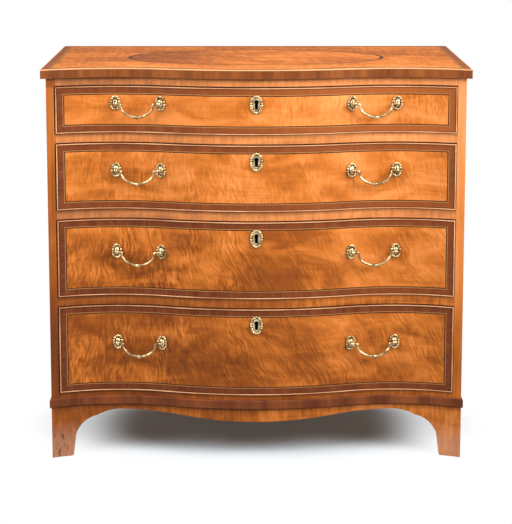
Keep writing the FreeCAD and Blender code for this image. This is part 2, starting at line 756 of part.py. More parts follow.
def pivot_line(side, z):
    """Middle, half length and angle of the line through the balls of a handle."""
    first, second = [ball_centre(x, z) for x in post_places(side)]
    run = second.sub(first)
    angle = math.degrees(math.atan2(run.y, run.x))
    return first.add(second).multiply(0.5), run.Length / 2, angle


def on_pivots(shape, side, z):
    """Hang a shape made about the origin, along X, on the pivot line of a handle."""
    middle, half, angle = pivot_line(side, z)
    placed = shape.copy()
    placed.rotate(Vector(0, 0, 0), Vector(0, 0, 1), angle)
    placed.translate(middle)
    return placed


def post():
    """A turned post with a collar, neck and ball, and a shank through the drawer front."""
    collar_top = ROSETTE_WELL + POST_COLLAR_HEIGHT
    neck_end = POST_REACH - math.sqrt(POST_BALL_RADIUS**2 - POST_NECK_RADIUS**2)
    tail = -(FRONT_THICKNESS + NUT_THICKNESS + POST_TAIL)
    profile = [
        (0.0, tail),
        (POST_SHANK_RADIUS, tail),
        (POST_SHANK_RADIUS, ROSETTE_WELL),
        (POST_COLLAR_RADIUS, ROSETTE_WELL),
        (POST_COLLAR_RADIUS, collar_top),
        (POST_NECK_RADIUS, collar_top),
        (POST_NECK_RADIUS, neck_end + POST_BALL_RADIUS / 2),
        (0.0, neck_end + POST_BALL_RADIUS / 2),
    ]
    ball = Part.makeSphere(POST_BALL_RADIUS, Vector(0, -POST_REACH, 0))
    return turned(profile).fuse(ball).removeSplitter()


def rosette():
    """An oval plate under a post, with a raised ring round a sunk middle."""
    profile = [
        (0.0, SEAT_CLEARANCE),
        (0.0, ROSETTE_EDGE),
        (PLATE_BEVEL, ROSETTE_RING),
        (ROSETTE_RING_WIDTH - PLATE_BEVEL, ROSETTE_RING),
        (ROSETTE_RING_WIDTH, ROSETTE_WELL),
    ]
    plate = stepped_oval(ROSETTE_WIDTH, ROSETTE_HEIGHT, profile)
    hole = POST_SHANK_RADIUS + SHANK_CLEARANCE
    return plate.cut(Part.makeCylinder(hole, ROSETTE_RING + BEYOND, Vector(0, 0, 0), Vector(0, -1, 0)))


def nut():
    """A round nut on the shank, inside the drawer."""
    start = Vector(0, FRONT_THICKNESS + SEAT_CLEARANCE, 0)
    blank = Part.makeCylinder(NUT_RADIUS, NUT_THICKNESS, start, Vector(0, 1, 0))
    hole = POST_SHANK_RADIUS + SHANK_CLEARANCE
    return blank.cut(Part.makeCylinder(hole, NUT_THICKNESS, start, Vector(0, 1, 0)))


def bail_path(half):
    """Middle line of a bail between two pivots: necks, tight bends, side arcs and a flatter bow."""
    bend_x = half - BAIL_NECK
    wide = bend_x - BAIL_BEND
    deep = BAIL_DROP - BAIL_BEND
    side_radius = deep - BAIL_FLAT
    inset = wide - side_radius
    bow = (inset**2 + deep**2 - side_radius**2) / (2 * BAIL_FLAT)
    lean = math.atan2(inset, bow - deep)
    slant = (math.pi / 2 + lean) / 2
    eighth = BAIL_BEND * math.sqrt(0.5)
    right = [
        Vector(half - POST_BALL_RADIUS, 0, 0),
        Vector(bend_x, 0, 0),
        Vector(bend_x - eighth, 0, eighth - BAIL_BEND),
        Vector(wide, 0, -BAIL_BEND),
        Vector(inset + side_radius * math.sin(slant), 0, -BAIL_BEND - side_radius * math.cos(slant)),
        Vector(bow * math.sin(lean), 0, bow - BAIL_DROP - bow * math.cos(lean)),
    ]
    left = [Vector(-point.x, 0, point.z) for point in right]
    return Part.Wire(
        [
            Part.makeLine(left[0], left[1]),
            Part.Arc(left[1], left[2], left[3]).toShape(),
            Part.Arc(left[3], left[4], left[5]).toShape(),
            Part.Arc(left[5], Vector(0, 0, -BAIL_DROP), right[5]).toShape(),
            Part.Arc(right[5], right[4], right[3]).toShape(),
            Part.Arc(right[3], right[2], right[1]).toShape(),
            Part.makeLine(right[1], right[0]),
        ]
    )


def bail(side, z):
    """A bail that hangs from two pins in the balls of its posts, with a knop at its foot."""
    middle, half, angle = pivot_line(side, z)
    pin_end = half - POST_BALL_RADIUS
    ring = Part.Wire(Part.makeCircle(BAIL_RADIUS, Vector(-pin_end, 0, 0), Vector(1, 0, 0)))
    wire = bail_path(half).makePipeShell([ring], True, True)
    for way in (-1, 1):
        start = Vector(way * pin_end, 0, 0)
        pin = Part.makeCylinder(BAIL_PIN_RADIUS, POST_BALL_RADIUS + BAIL_PIN_REACH, start, Vector(way, 0, 0))
        wire = wire.fuse(pin)
    wire = wire.fuse(knop()).removeSplitter()
    return on_pivots(wire, side, z)


def knop():
    """The turned swelling at the foot of a bail, with a bead under it."""
    end = KNOP_LENGTH / 2
    collar = end - KNOP_COLLAR_LENGTH
    points = [
        Vector(-end, 0, -BAIL_DROP),
        Vector(-end, 0, -BAIL_DROP - KNOP_COLLAR_RADIUS),
        Vector(-collar, 0, -BAIL_DROP - KNOP_COLLAR_RADIUS),
        Vector(collar, 0, -BAIL_DROP - KNOP_COLLAR_RADIUS),
        Vector(end, 0, -BAIL_DROP - KNOP_COLLAR_RADIUS),
        Vector(end, 0, -BAIL_DROP),
    ]
    belly = Part.Arc(points[2], Vector(0, 0, -BAIL_DROP - KNOP_RADIUS), points[3]).toShape()
    edges = [
        Part.makeLine(points[0], points[1]),
        Part.makeLine(points[1], points[2]),
        belly,
        Part.makeLine(points[3], points[4]),
        Part.makeLine(points[4], points[5]),
        Part.makeLine(points[5], points[0]),
    ]
    outline = Part.Face(Part.Wire(edges))
    swelling = outline.revolve(Vector(0, 0, -BAIL_DROP), Vector(1, 0, 0), 360)
    return swelling.fuse(Part.makeSphere(KNOP_BEAD_RADIUS, Vector(0, 0, -BAIL_DROP - KNOP_BEAD_DROP)))


def handle_fittings(number):
    """Posts, rosettes and nuts of both handles of a drawer."""
    z = pivot_height(number)
    metal = []
    for side in (-1, 1):
        middle, half, angle = pivot_line(side, z)
        reach = half + BAIL_PIN_REACH + BAIL_PIN_CLEARANCE
        hole_radius = BAIL_PIN_RADIUS + BAIL_PIN_CLEARANCE
        hole = Part.makeCylinder(hole_radius, 2 * reach, Vector(-reach, 0, 0), Vector(1, 0, 0))
        hole = on_pivots(hole, side, z)
        for x in post_places(side):
            metal.append(on_front(post(), x, z).cut(hole))
            metal.append(on_front(rosette(), x, z))
            metal.append(on_front(nut(), x, z))
    return metal


def drawer_front(number, sides, bottom, beads):
    """The serpentine front, glued up from three lengths and cut for its tails, lock and posts."""
    floor, low, high = drawer_levels(number)
    wood = serpentine_strip(-DRAWER_HALF, DRAWER_HALF, 0.0, -FRONT_THICKNESS, low, high)
    wood = wood.cut(sides + [bottom] + beads)
    pocket = lock_block(high)
    pocket = pocket.fuse(pocket.translated(Vector(0, BEYOND, 0)))
    cuts = [pocket, keyhole(CREST_Y - BEYOND, LOCK_FRONT_Y, high - KEY_DROP, KEYHOLE_SPARE)]
    hole_radius = POST_SHANK_RADIUS + SHANK_CLEARANCE
    length = FRONT_THICKNESS + 2 * BEYOND
    hole = Part.makeCylinder(hole_radius, length, Vector(0, -BEYOND, 0), Vector(0, 1, 0))
    for side in (-1, 1):
        for x in post_places(side):
            cuts.append(on_front(hole, x, pivot_height(number)))
    wood = wood.cut(cuts)
    joints = [-DRAWER_HALF, -FRONT_JOINT_X, FRONT_JOINT_X, DRAWER_HALF]
    near = clear_of_front(DRAWER_HALF, 0.0)
    return [
        wood.common(box(left, right, near, RAIL_BACK_Y, low, high)) for left, right in zip(joints, joints[1:])
    ]


def case_nodes():
    """The pieces of the case and its base."""
    rails = [rail(low, RAIL_HEIGHT).cut(bolt_mortise(low)) for low in rail_lows()]
    panels = [dust_panel(low) for low in rail_lows()]
    rails = [wood.cut(panel) for wood, panel in zip(rails, panels)]
    top_rail = rail(TOP_RAIL_LOW, TOP_RAIL_HEIGHT).cut(bolt_mortise(TOP_RAIL_LOW))
    bottom_rail = rail(CASE_BOTTOM, BOTTOM_RAIL_HEIGHT)
    housed = rails + [top_rail, bottom_rail]
    top_half = CASE_HALF + TOP_OVERHANG
    top_high = CASE_TOP + TOP_THICKNESS
    return {
        "top_board": [serpentine_board(-top_half, top_half, TOP_OVERHANG, BACK_Y, CASE_TOP, top_high)],
        "left_side": [case_side(-1, housed)],
        "right_side": [case_side(1, housed)],
        "back_boards": back_boards(),
        "bottom_board": [bottom_board()],
        "top_front_rail": [top_rail],
        "drawer_rails": rails,
        "bottom_front_rail": [bottom_rail],
        "dust_panels": panels,
        "runners_and_kickers": runners_and_kickers(),
        "drawer_stops": drawer_stops(),
        "base_moulding": base_frame(),
        "front_apron": [front_apron()],
        "side_aprons": [side_apron(side) for side in (-1, 1)],
        "rear_feet": [rear_foot(side) for side in (-1, 1)],
        "foot_blocks": foot_blocks(),
    }


def drawer_nodes(number):
    """The pieces of one drawer."""
    bottom = drawer_bottom(number)
    sides = [drawer_side(number, side, bottom) for side in (-1, 1)]
    beads = cockbeads(number)
    z = pivot_height(number)
    pieces = {
        "front": drawer_front(number, sides, bottom, beads),
        "sides": sides,
        "back": [drawer_back_block(number).cut(sides)],
        "bottom": [bottom],
        "cockbeads": beads,
        "escutcheon": [escutcheon(number)],
        "lock": [lock(number)],
        "lock_bolt": [lock_bolt(number)],
        "left_bail": [bail(-1, z)],
        "right_bail": [bail(1, z)],
        "handle_fittings": handle_fittings(number),
    }
    return {f"drawer_{number}_{name}": solids for name, solids in pieces.items()}


def main():
    nodes = case_nodes()
    for number in sorted(DRAWER_HEIGHTS):
        nodes.update(drawer_nodes(number))
    os.makedirs("parts", exist_ok=True)
    for name, solids in nodes.items():
        shape = solids[0] if len(solids) == 1 else Part.makeCompound(solids)
        shape.exportStep(f"parts/{name}.step")
    print(len(nodes), "nodes written")


main()
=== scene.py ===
# %% [markdown]
# # Serpentine chest of drawers
# The chest comes in as a frame of solids, already in place and in metres: +X is the viewer's
# right, -Y is towards the viewer and +Z is up. This lesson gives those solids their looks: worn
# edges, figured satinwood, crossbanding with string lines, and cast brass. Nothing is moved, so
# every piece keeps to the drawers and handles that already slide and swing.

# %% Load the frame
import json
import math

import bpy
from mathutils import Matrix, Vector
from mathutils.bvhtree import BVHTree

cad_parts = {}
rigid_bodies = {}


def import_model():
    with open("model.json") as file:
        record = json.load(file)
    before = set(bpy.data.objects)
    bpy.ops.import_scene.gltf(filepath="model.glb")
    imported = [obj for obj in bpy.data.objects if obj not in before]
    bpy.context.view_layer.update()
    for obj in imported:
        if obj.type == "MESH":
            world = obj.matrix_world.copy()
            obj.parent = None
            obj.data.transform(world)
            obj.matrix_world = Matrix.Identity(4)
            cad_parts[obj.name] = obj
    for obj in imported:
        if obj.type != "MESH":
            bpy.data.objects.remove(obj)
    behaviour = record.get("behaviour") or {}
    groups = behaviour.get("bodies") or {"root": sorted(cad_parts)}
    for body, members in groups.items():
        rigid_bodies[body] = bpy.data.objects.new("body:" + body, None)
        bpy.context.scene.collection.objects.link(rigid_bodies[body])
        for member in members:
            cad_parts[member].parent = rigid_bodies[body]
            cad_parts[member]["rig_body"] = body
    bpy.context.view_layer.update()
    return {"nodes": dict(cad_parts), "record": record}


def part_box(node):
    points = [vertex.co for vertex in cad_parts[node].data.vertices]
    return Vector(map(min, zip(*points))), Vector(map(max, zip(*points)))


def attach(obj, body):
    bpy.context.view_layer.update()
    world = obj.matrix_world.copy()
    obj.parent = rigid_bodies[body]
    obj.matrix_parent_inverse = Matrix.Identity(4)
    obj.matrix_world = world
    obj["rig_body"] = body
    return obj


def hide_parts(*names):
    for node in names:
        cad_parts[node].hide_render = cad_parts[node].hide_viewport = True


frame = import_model()

# %% [markdown]
# ## Camera
# The photograph was taken from straight in front, a little above the top, and its upright edges stay
# nearly parallel. Shifting the lens alone would do that without any tilt, but a view from another
# side keeps the same shift, and the chest would slip out of its middle. So the camera stands far off
# with a long lens, a small shift does part of it, and a slight tilt does the rest.

# %% Camera
IMAGE_HEIGHT = 524
FOCAL_PIXELS = 1932.5
SENSOR_WIDTH = 36.0
LENS_SHIFT = -0.1
CAMERA_PLACE = (-0.018, -4.35, 1.268)
TILT_DOWN = 9.92
TURN_RIGHT = 0.24
camera_data = bpy.data.cameras.new("camera")
camera = bpy.data.objects.new("camera", camera_data)
bpy.context.scene.collection.objects.link(camera)
camera_data.sensor_width = SENSOR_WIDTH
camera_data.lens = FOCAL_PIXELS / IMAGE_HEIGHT * SENSOR_WIDTH
camera_data.shift_y = LENS_SHIFT
camera.location = CAMERA_PLACE
camera.rotation_euler = (math.radians(90 - TILT_DOWN), 0, math.radians(-TURN_RIGHT))
bpy.context.scene.camera = camera
print("lens", round(camera_data.lens, 1), "mm")

# %% [markdown]
# ## The line of the front
# Seen from above, the front of a serpentine chest is one flowing line: a bow in the middle between
# two hollows. It could be sampled from the solids, but it is only two radii, so it is set down here
# once, with the same measures as the solids, and the veneers and the brass find their place by it.

# %% The line of the front
CREST = -0.275
BOW_DEPTH = 0.0466
HOLLOW_X = 0.299
BOW_RADIUS = 0.6425
HOLLOW_RADIUS = 0.340


def front_y(x):
    """Where the drawer fronts lie at x: a bow between two hollows."""
    side = abs(x)
    if side < HOLLOW_X * BOW_RADIUS / (BOW_RADIUS + HOLLOW_RADIUS):
        return CREST + BOW_RADIUS - math.sqrt(BOW_RADIUS**2 - side**2)
    return CREST + BOW_DEPTH - HOLLOW_RADIUS + math.sqrt(HOLLOW_RADIUS**2 - (side - HOLLOW_X) ** 2)


def face_turn(x):
    """How far the drawer front is turned about Z at x."""
    step = 0.0005
    return math.atan2(front_y(x + step) - front_y(x - step), 2 * step)


print("front at the middle and the hollow", round(front_y(0), 4), round(front_y(HOLLOW_X), 4))

# %% [markdown]
# ## Node helpers
# Every finish below is a small tree of shader nodes. Adding nodes one by one takes many lines, so
# a few helpers do the wiring: they add any node, do sums, mix colours and split a place into its
# coordinates. Each finish starts from Object coordinates, so its pattern stays put on the wood from
# every side.

# %% Helpers for shader nodes
def add_node(tree, kind, inputs=None, **settings):
    """A shader node with its settings, values and links."""
    made = tree.nodes.new(kind)
    for name, value in settings.items():
        setattr(made, name, value)
    for key, value in (inputs or {}).items():
        if isinstance(value, bpy.types.NodeSocket):
            tree.links.new(value, made.inputs[key])
        else:
            made.inputs[key].default_value = value
    return made


def sums(tree, operation, first, second=0.0, clamp=False):
    """One arithmetic step on sockets or numbers."""
    step = add_node(tree, "ShaderNodeMath", {0: first, 1: second}, operation=operation, use_clamp=clamp)
    return step.outputs[0]


def squared(tree, value):
    """A value times itself."""
    return sums(tree, "MULTIPLY", value, value)


def apart(tree, first, second):
    """The distance between two values."""
    return sums(tree, "ABSOLUTE", sums(tree, "SUBTRACT", first, second))


def weighed(tree, share, first, second):
    """The given share of the first value and the rest of the second."""
    rest = sums(tree, "MULTIPLY", second, 1 - share)
    return sums(tree, "ADD", sums(tree, "MULTIPLY", first, share), rest)


def blend(tree, share, first, second):
    """Mix two colours by a share from 0 to 1."""
    return add_node(
        tree, "ShaderNodeMix", {0: share, 6: first, 7: second}, data_type="RGBA", blend_type="MIX"
    ).outputs[2]


def new_finish(name):
    """An empty material, its tree, its shader and the place on the piece."""
    finish = bpy.data.materials.new(name)
    finish.use_nodes = True
    tree = finish.node_tree
    shader = tree.nodes["Principled BSDF"]
    place = add_node(tree, "ShaderNodeTexCoord").outputs["Object"]
    return finish, tree, shader, place


def coordinates(tree, place, axes):
    """The coordinates of a place along the named axes."""
    split = add_node(tree, "ShaderNodeSeparateXYZ", {0: place}).outputs
    return [split[axis] for axis in axes]


def join(tree, value, socket):
    """Lead a value into a socket."""
    tree.links.new(value, socket)


print("helpers ready")

# %% [markdown]
# ## Clouds
# Wood, old metal and dirt all vary in soft patches. An image could carry them, but a noise pattern
# needs no file and has no seams. One helper lays such a pattern with patches of a given size in
# metres, long in one direction for grain, and another stretches its values over a wanted range.
# Nine metres are endless for a chest, so along such an axis a pattern hardly changes. Most of a
# cloud's values lie between 0.3 and 0.7, so these are the ones that are usually stretched.

# %% Clouds of a given size
ENDLESS = 9
USUAL = (0.3, 0.7)


def clouds(tree, place, size, turn=(0, 0, 0), shift=(0, 0, 0), detail=4.0, rough=0.55, swirl=0.0):
    """Cloudy values from 0 to 1 whose patches have the given size in metres along each axis."""
    laid = add_node(
        tree, "ShaderNodeMapping",
        {"Vector": place, "Location": shift, "Rotation": turn, "Scale": size}, vector_type="TEXTURE",
    )
    noise = add_node(
        tree, "ShaderNodeTexNoise",
        {"Vector": laid.outputs[0], "Scale": 1.0, "Detail": detail, "Roughness": rough, "Distortion": swirl},
    )
    return noise.outputs["Fac"]


def spread(tree, value, low, high, to_low=0.0, to_high=1.0):
    """Stretch the values between low and high over a new range, smoothly at both ends."""
    made = add_node(
        tree, "ShaderNodeMapRange",
        {"Value": value, "From Min": low, "From Max": high, "To Min": to_low, "To Max": to_high},
        interpolation_type="SMOOTHSTEP",
    )
    return made.outputs["Result"]


print("clouds ready")

# %% [markdown]
# ## Figured satinwood
# Satinwood veneer is golden with a ripple that runs across the grain, stronger in some leaves than
# in others. It could be one wood texture, but the ripple, the long grain and the cloudy changes of
# tone have different sizes and directions. So each is a cloudy pattern of its own, stretched along
# its direction, and a ramp turns their sum into colour. The same recipe serves the drawers, the case
# and the top, turned to lie along each of them.

# %% Satinwood
SATIN_STOPS = (
    (0.10, (0.165, 0.038, 0.007, 1)),
    (0.34, (0.320, 0.083, 0.011, 1)),
    (0.52, (0.588, 0.168, 0.025, 1)),
    (0.74, (0.870, 0.298, 0.080, 1)),
    (0.95, (0.950, 0.420, 0.190, 1)),
)
MIDDLE_TONE = 0.51
BROADER = 3.0
RIPPLE_SWING = 0.085
BROAD_SWING = 0.040
GRAIN_SWING = 0.035


def satin_ramp(tree, value):
    """The colours of satinwood from deep to pale."""
    ramp = add_node(tree, "ShaderNodeValToRGB", {"Fac": value})
    stops = ramp.color_ramp.elements
    for stop, (position, colour) in zip((stops[0], stops[1]), (SATIN_STOPS[0], SATIN_STOPS[-1])):
        stop.position, stop.color = position, colour
    for position, colour in SATIN_STOPS[1:-1]:
        stops.new(position).color = colour
    return ramp.outputs["Color"]


def satin_colour(tree, place, sizes, turn=(0, 0, 0), shift=(0, 0, 0), strength=1.0, pale=0.0, patchy=0.15):
    """Colour and pores of figured satinwood, from pattern sizes for ripple, long grain and clouds."""
    ripple, grain, cloud = sizes
    fine = clouds(tree, place, ripple, turn, shift, detail=2.0, swirl=0.15)
    broad = clouds(tree, place, [BROADER * v for v in ripple], turn, shift, detail=2.0, swirl=0.15)
    lines = clouds(tree, place, grain, shift=shift, detail=5.0, rough=0.65)
    tone = clouds(tree, place, cloud, shift=shift, detail=4.0, swirl=0.6)
    fine = spread(tree, fine, *USUAL, -RIPPLE_SWING, RIPPLE_SWING)
    broad = spread(tree, broad, *USUAL, -BROAD_SWING, BROAD_SWING)
    figure = sums(tree, "MULTIPLY", sums(tree, "ADD", fine, broad), strength)
    total = sums(tree, "ADD", figure, spread(tree, lines, *USUAL, -GRAIN_SWING, GRAIN_SWING))
    tone = spread(tree, tone, 0.25, 0.75, MIDDLE_TONE - patchy, MIDDLE_TONE + patchy)
    total = sums(tree, "ADD", total, tone)
    return satin_ramp(tree, sums(tree, "ADD", total, pale)), lines


print("satinwood in", len(SATIN_STOPS), "tones")

# %% [markdown]
# ## Varnish
# The wood is varnished and rubbed: it has a soft gloss, a little duller in the pores, and the pores
# show as fine furrows. A clear coat would do for a thick new varnish, but here it is thin and worn,
# so the shader's own gloss is enough, with its roughness and a very shallow bump led by the grain.

# %% Varnish
def varnish(tree, shader, colour, pores, rough=(0.28, 0.42), gloss=0.15):
    """Rubbed varnish over the wood: some gloss, a little unevenness, and the pores of the grain."""
    join(tree, colour, shader.inputs["Base Color"])
    join(tree, spread(tree, pores, *USUAL, *rough), shader.inputs["Roughness"])
    bump = add_node(tree, "ShaderNodeBump", {"Height": pores, "Distance": 0.00008, "Strength": 0.5})
    join(tree, bump.outputs["Normal"], shader.inputs["Normal"])
    shader.inputs["Specular IOR Level"].default_value = gloss


print("varnish ready")

# %% [markdown]
# ## Painted shade along the openings
# The gaps round each drawer lie in shade, so a dark line of painted shade goes in the rails above each
# drawer and in the stile to its left, just where the drawer leaves its opening. Below the drawer a
# painted shadow of it fades out softly, stronger on the left. All of it is drawn in the finish of the
# case by the distance from the drawer's edge.

# %% Painted shade along the openings
DARK_LINE = (0.045, 0.012, 0.004, 1)
DRAWERS = (1, 2, 3, 4)
GAP = 0.0010
SHADE_LINE = 0.0021
SHADOW_DEPTH = 0.009
SHADOW_STRENGTH = 0.75
SHADOW_SIDES = (0.9, 0.5)
CASE_REACH = 0.45


def opening_shade(tree, x, z, number, colour):
    """Painted shade along the opening of a drawer: lines above it and to its left, and a soft shadow below
    it.
    """
    low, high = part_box(f"drawer_{number}_cockbeads")
    above = sums(tree, "LESS_THAN", apart(tree, z, high.z + GAP), SHADE_LINE)
    inside = sums(tree, "LESS_THAN", sums(tree, "ABSOLUTE", x), high.x + GAP)
    colour = blend(tree, sums(tree, "MULTIPLY", above, inside), colour, DARK_LINE)
    beside = sums(tree, "LESS_THAN", apart(tree, x, low.x - GAP), SHADE_LINE)
    level = sums(tree, "LESS_THAN", apart(tree, z, (low.z + high.z) / 2), (high.z - low.z) / 2 + GAP)
    colour = blend(tree, sums(tree, "MULTIPLY", beside, level), colour, DARK_LINE)
    below = sums(tree, "SUBTRACT", low.z - GAP, z)
    under = sums(tree, "MULTIPLY", inside, sums(tree, "GREATER_THAN", below, -GAP))
    fading = spread(tree, below, 0.0, SHADOW_DEPTH, SHADOW_STRENGTH, 0.0)
    under_shadow = sums(tree, "MULTIPLY", fading, spread(tree, x, -CASE_REACH, CASE_REACH, *SHADOW_SIDES))
    return blend(tree, sums(tree, "MULTIPLY", under, under_shadow), colour, DARK_LINE)


# Height of the lines of painted shade along the gaps
print("dirt lines", SHADE_LINE * 1000, "mm high")

# %% [markdown]
# ## Satinwood of the case
# The sides, stiles, rails and aprons are plainer satinwood than the drawers. All are darker towards
# the floor as painted shade, the stiles most, and the stiles, rails and aprons are paler to the right,
# partly in the wood's own tone and partly as painted light. The feet are scuffed pale, with a few dark
# knocks on the left one and painted shade under the moulding. The upper rails are paler, and painted
# shade from the overhang of the top darkens the left of the case above the top drawer. Separate images
# for each would hide what they share, so one function makes them all, with the grain upright on sides
# and stiles, and level on rails and aprons.

# %% Satinwood of the case
SCUFFED = (0.700, 0.360, 0.230, 1)
UPPER_PALE_COLOUR = (0.820, 0.470, 0.270, 1)
MOULDING_SHADE = 0.014
SCUFF_HEIGHTS = (0.09, 0.02)
KNOCK_HEIGHTS = (0.075, 0.055)
KNOCK_SIZE = (0.007, 0.007, 0.02)
LEFT_FOOT = (-0.40, -0.42)
CASE_HEIGHTS = (0.1, 0.85)
UPPER_TONE = 0.05
SHADE_END = 0.2
SHADE_TONE = -0.14
UPPER_PALE_HEIGHTS = (0.3, 0.55)


def shade_and_scuffs(tree, place, x, z, colour):
    """Painted shade under the base moulding, pale scuffing low on the feet, and dark knocks on the left one.
    """
    moulding_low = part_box("base_moulding")[0].z
    painted_shade = spread(tree, z, moulding_low - MOULDING_SHADE, moulding_low, 0.0, 0.5)
    colour = blend(tree, painted_shade, colour, DARK_LINE)
    colour = blend(tree, spread(tree, z, *SCUFF_HEIGHTS, 0.0, 0.5), colour, SCUFFED)
    knocks = spread(tree, clouds(tree, place, KNOCK_SIZE, detail=3.0), 0.56, 0.70, 0.0, 0.7)
    on_foot = sums(tree, "MULTIPLY", spread(tree, z, *KNOCK_HEIGHTS), spread(tree, x, *LEFT_FOOT))
    return blend(tree, sums(tree, "MULTIPLY", knocks, on_foot), colour, DARK_LINE)


def case_satin(name, sizes, strength, tones, foot=-0.22, upper_pale=None, scuffed_and_shaded=False):
    """Satinwood with painted shade low down, under the top and along the openings, a tone across that is
    partly painted light, and perhaps paler higher up.
    """
    finish, tree, shader, place = new_finish(name)
    x, z = coordinates(tree, place, "XZ")
    upward = spread(tree, z, *CASE_HEIGHTS, foot, UPPER_TONE)
    pale = sums(tree, "ADD", upward, spread(tree, x, -CASE_REACH, CASE_REACH, *tones))
    under_top = sums(tree, "GREATER_THAN", z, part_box("drawer_1_cockbeads")[1].z)
    shade = spread(tree, x, -CASE_REACH, SHADE_END, SHADE_TONE, 0.0)
    pale = sums(tree, "ADD", pale, sums(tree, "MULTIPLY", under_top, shade))
    colour, pores = satin_colour(tree, place, sizes, strength=strength, pale=pale, patchy=0.11)
    if upper_pale:
        colour = blend(tree, spread(tree, z, *UPPER_PALE_HEIGHTS, 0.0, upper_pale), colour, UPPER_PALE_COLOUR)
    for number in DRAWERS:
        colour = opening_shade(tree, x, z, number, colour)
    if scuffed_and_shaded:
        colour = shade_and_scuffs(tree, place, x, z, colour)
    varnish(tree, shader, colour, pores)
    return finish


UPRIGHT = ((0.012, 0.012, 0.16), (0.002, 0.0015, 0.4), (ENDLESS, 0.13, 0.3))
LEVEL = ((0.008, ENDLESS, 0.04), (0.25, ENDLESS, 0.0012), (0.22, ENDLESS, 0.02))
ROUND_FEET = ((0.010, 0.010, 0.05), (0.2, 0.2, 0.0014), (0.14, 0.14, 0.05))
# Tones from left to right: partly the wood's own, partly painted light, paler to the right.
side_satin = case_satin("satinwood_sides", UPRIGHT, 0.5, (0.03, 0.03))
stile_satin = case_satin("satinwood_stiles", UPRIGHT, 0.5, (-0.03, 0.31), foot=-0.36)
rail_satin = case_satin("satinwood_rails", LEVEL, 0.8, (-0.07, 0.09), upper_pale=0.16)
apron_satin = case_satin("satinwood_aprons", ROUND_FEET, 1.0, (0.08, 0.24), scuffed_and_shaded=True)
print("satinwood for sides, stiles, rails and aprons")

# %% [markdown]
# ## Crossbanding
# Round every drawer runs a dark band of another veneer, cut so that its grain lies across the band.
# It comes in short lengths, so the tone jumps a little from length to length. One stripe pattern
# would look printed, so three cloudy patterns are added: hair-fine pores, softer streaks along the
# grain, and one slow change from length to length.

# %% Crossbanding
BAND_DARK = (0.080, 0.016, 0.006, 1)
BAND_LIGHT = (0.240, 0.062, 0.018, 1)
BAND_PALE = (0.420, 0.115, 0.024, 1)
LEAF = 0.085
BAND_SIZES = ((0.0013, ENDLESS, 0.05), (0.02, ENDLESS, 0.4), (LEAF, ENDLESS, ENDLESS))
BAND_SHARES = (0.45, 0.40, 0.25)


def band_colour(tree, place, upright_grain):
    """Dark veneer with its grain across the band, in short lengths of slightly different tone."""
    total = 0.0
    for size, share in zip(BAND_SIZES, BAND_SHARES):
        pattern = clouds(tree, place, size if upright_grain else size[::-1], detail=3.0)
        total = sums(tree, "ADD", total, sums(tree, "MULTIPLY", pattern, share))
    return blend(tree, spread(tree, total, 0.36, 0.76), BAND_DARK, BAND_LIGHT)


print("crossbanding in lengths of about", LEAF * 1000, "mm")

# %% [markdown]
# ## String lines and mitres
# Two string lines, one pale and one dark, part the band from the satinwood. They are flush inlays
# with no height of their own, so they are drawn in the finish by the distance from the drawer's
# edge. The mitre at a corner is simply where the distances from the two edges are equal. A thin
# dark line also runs against the raised bead. The bands of the upper drawers are
# paler, most on the right, so a share of a paler tone goes over them.

# %% String lines and mitres
PALE_LINE = (0.500, 0.235, 0.080, 1)
BEAD_LINE_END = 0.0035
BAND_END = 0.0150
PALE_END = 0.0162
DARK_END = 0.0184
FRONT_REACH = 0.4


def inlaid(tree, edge, colour, inlays):
    """Lay bands and lines over a colour, each as far as its distance from the edge."""
    for reach, inlay in inlays:
        colour = blend(tree, sums(tree, "LESS_THAN", edge, reach), colour, inlay)
    return colour


def banded(tree, place, x, z, low, high, field, band_pales):
    """The satinwood of a drawer front inside its string lines and crossband."""
    from_level = sums(tree, "SUBTRACT", (high.z - low.z) / 2, apart(tree, z, (low.z + high.z) / 2))
    from_end = sums(tree, "SUBTRACT", high.x, sums(tree, "ABSOLUTE", x))
    edge = sums(tree, "MINIMUM", from_level, from_end)
    at_end = sums(tree, "LESS_THAN", from_end, from_level)
    band = blend(tree, at_end, band_colour(tree, place, True), band_colour(tree, place, False))
    band = blend(tree, spread(tree, x, -FRONT_REACH, FRONT_REACH, *band_pales), band, BAND_PALE)
    inlays = ((DARK_END, DARK_LINE), (PALE_END, PALE_LINE), (BAND_END, band), (BEAD_LINE_END, DARK_LINE))
    return inlaid(tree, edge, field, inlays)


print("band up to", BAND_END * 1000, "mm, lines up to", DARK_END * 1000, "mm")

# %% [markdown]
# ## Fanned figure
# The ripples of each leaf stand upright on the left and lean over towards the right, like a fan.
# Turning the whole pattern would tilt it alike everywhere, so the place is sheared instead, by an
# amount that grows from left to right, and swayed a little so that no ripple is quite straight. Soft
# oval patches then make parts of a leaf paler or darker: some are figure, and some are painted
# highlights and painted shade.

# %% Fanned figure
FAN_REACH = (-0.42, 0.04)
BACK_LEAN = 0.25
SWAY_SIZE = (0.10, ENDLESS, 0.06)
SWAY = 0.007


def fanned(tree, place, x, z, middle_z, lean):
    """The place on a leaf whose ripples fan out: upright on the left, leaning over to the right."""
    fan = spread(tree, x, *FAN_REACH, -BACK_LEAN * lean, lean)
    sway = clouds(tree, place, SWAY_SIZE, detail=1.0)
    along = sums(tree, "ADD", x, sums(tree, "MULTIPLY", sums(tree, "SUBTRACT", z, middle_z), fan))
    along = sums(tree, "ADD", along, spread(tree, sway, 0.2, 0.8, -SWAY, SWAY))
    return add_node(tree, "ShaderNodeCombineXYZ", {0: along, 2: z}).outputs[0]


def patch(tree, x, z, middle, size, amount):
    """A soft oval patch that makes the wood paler or darker, as figure, painted highlight and painted shade.
    """
    wide = sums(tree, "DIVIDE", sums(tree, "SUBTRACT", x, middle[0]), size[0])
    tall = sums(tree, "DIVIDE", sums(tree, "SUBTRACT", z, middle[1]), size[1])
    ring = sums(tree, "SQRT", sums(tree, "ADD", squared(tree, wide), squared(tree, tall)))
    return spread(tree, ring, 1.0, 0.2, 0.0, amount)


print("fan and patches ready")
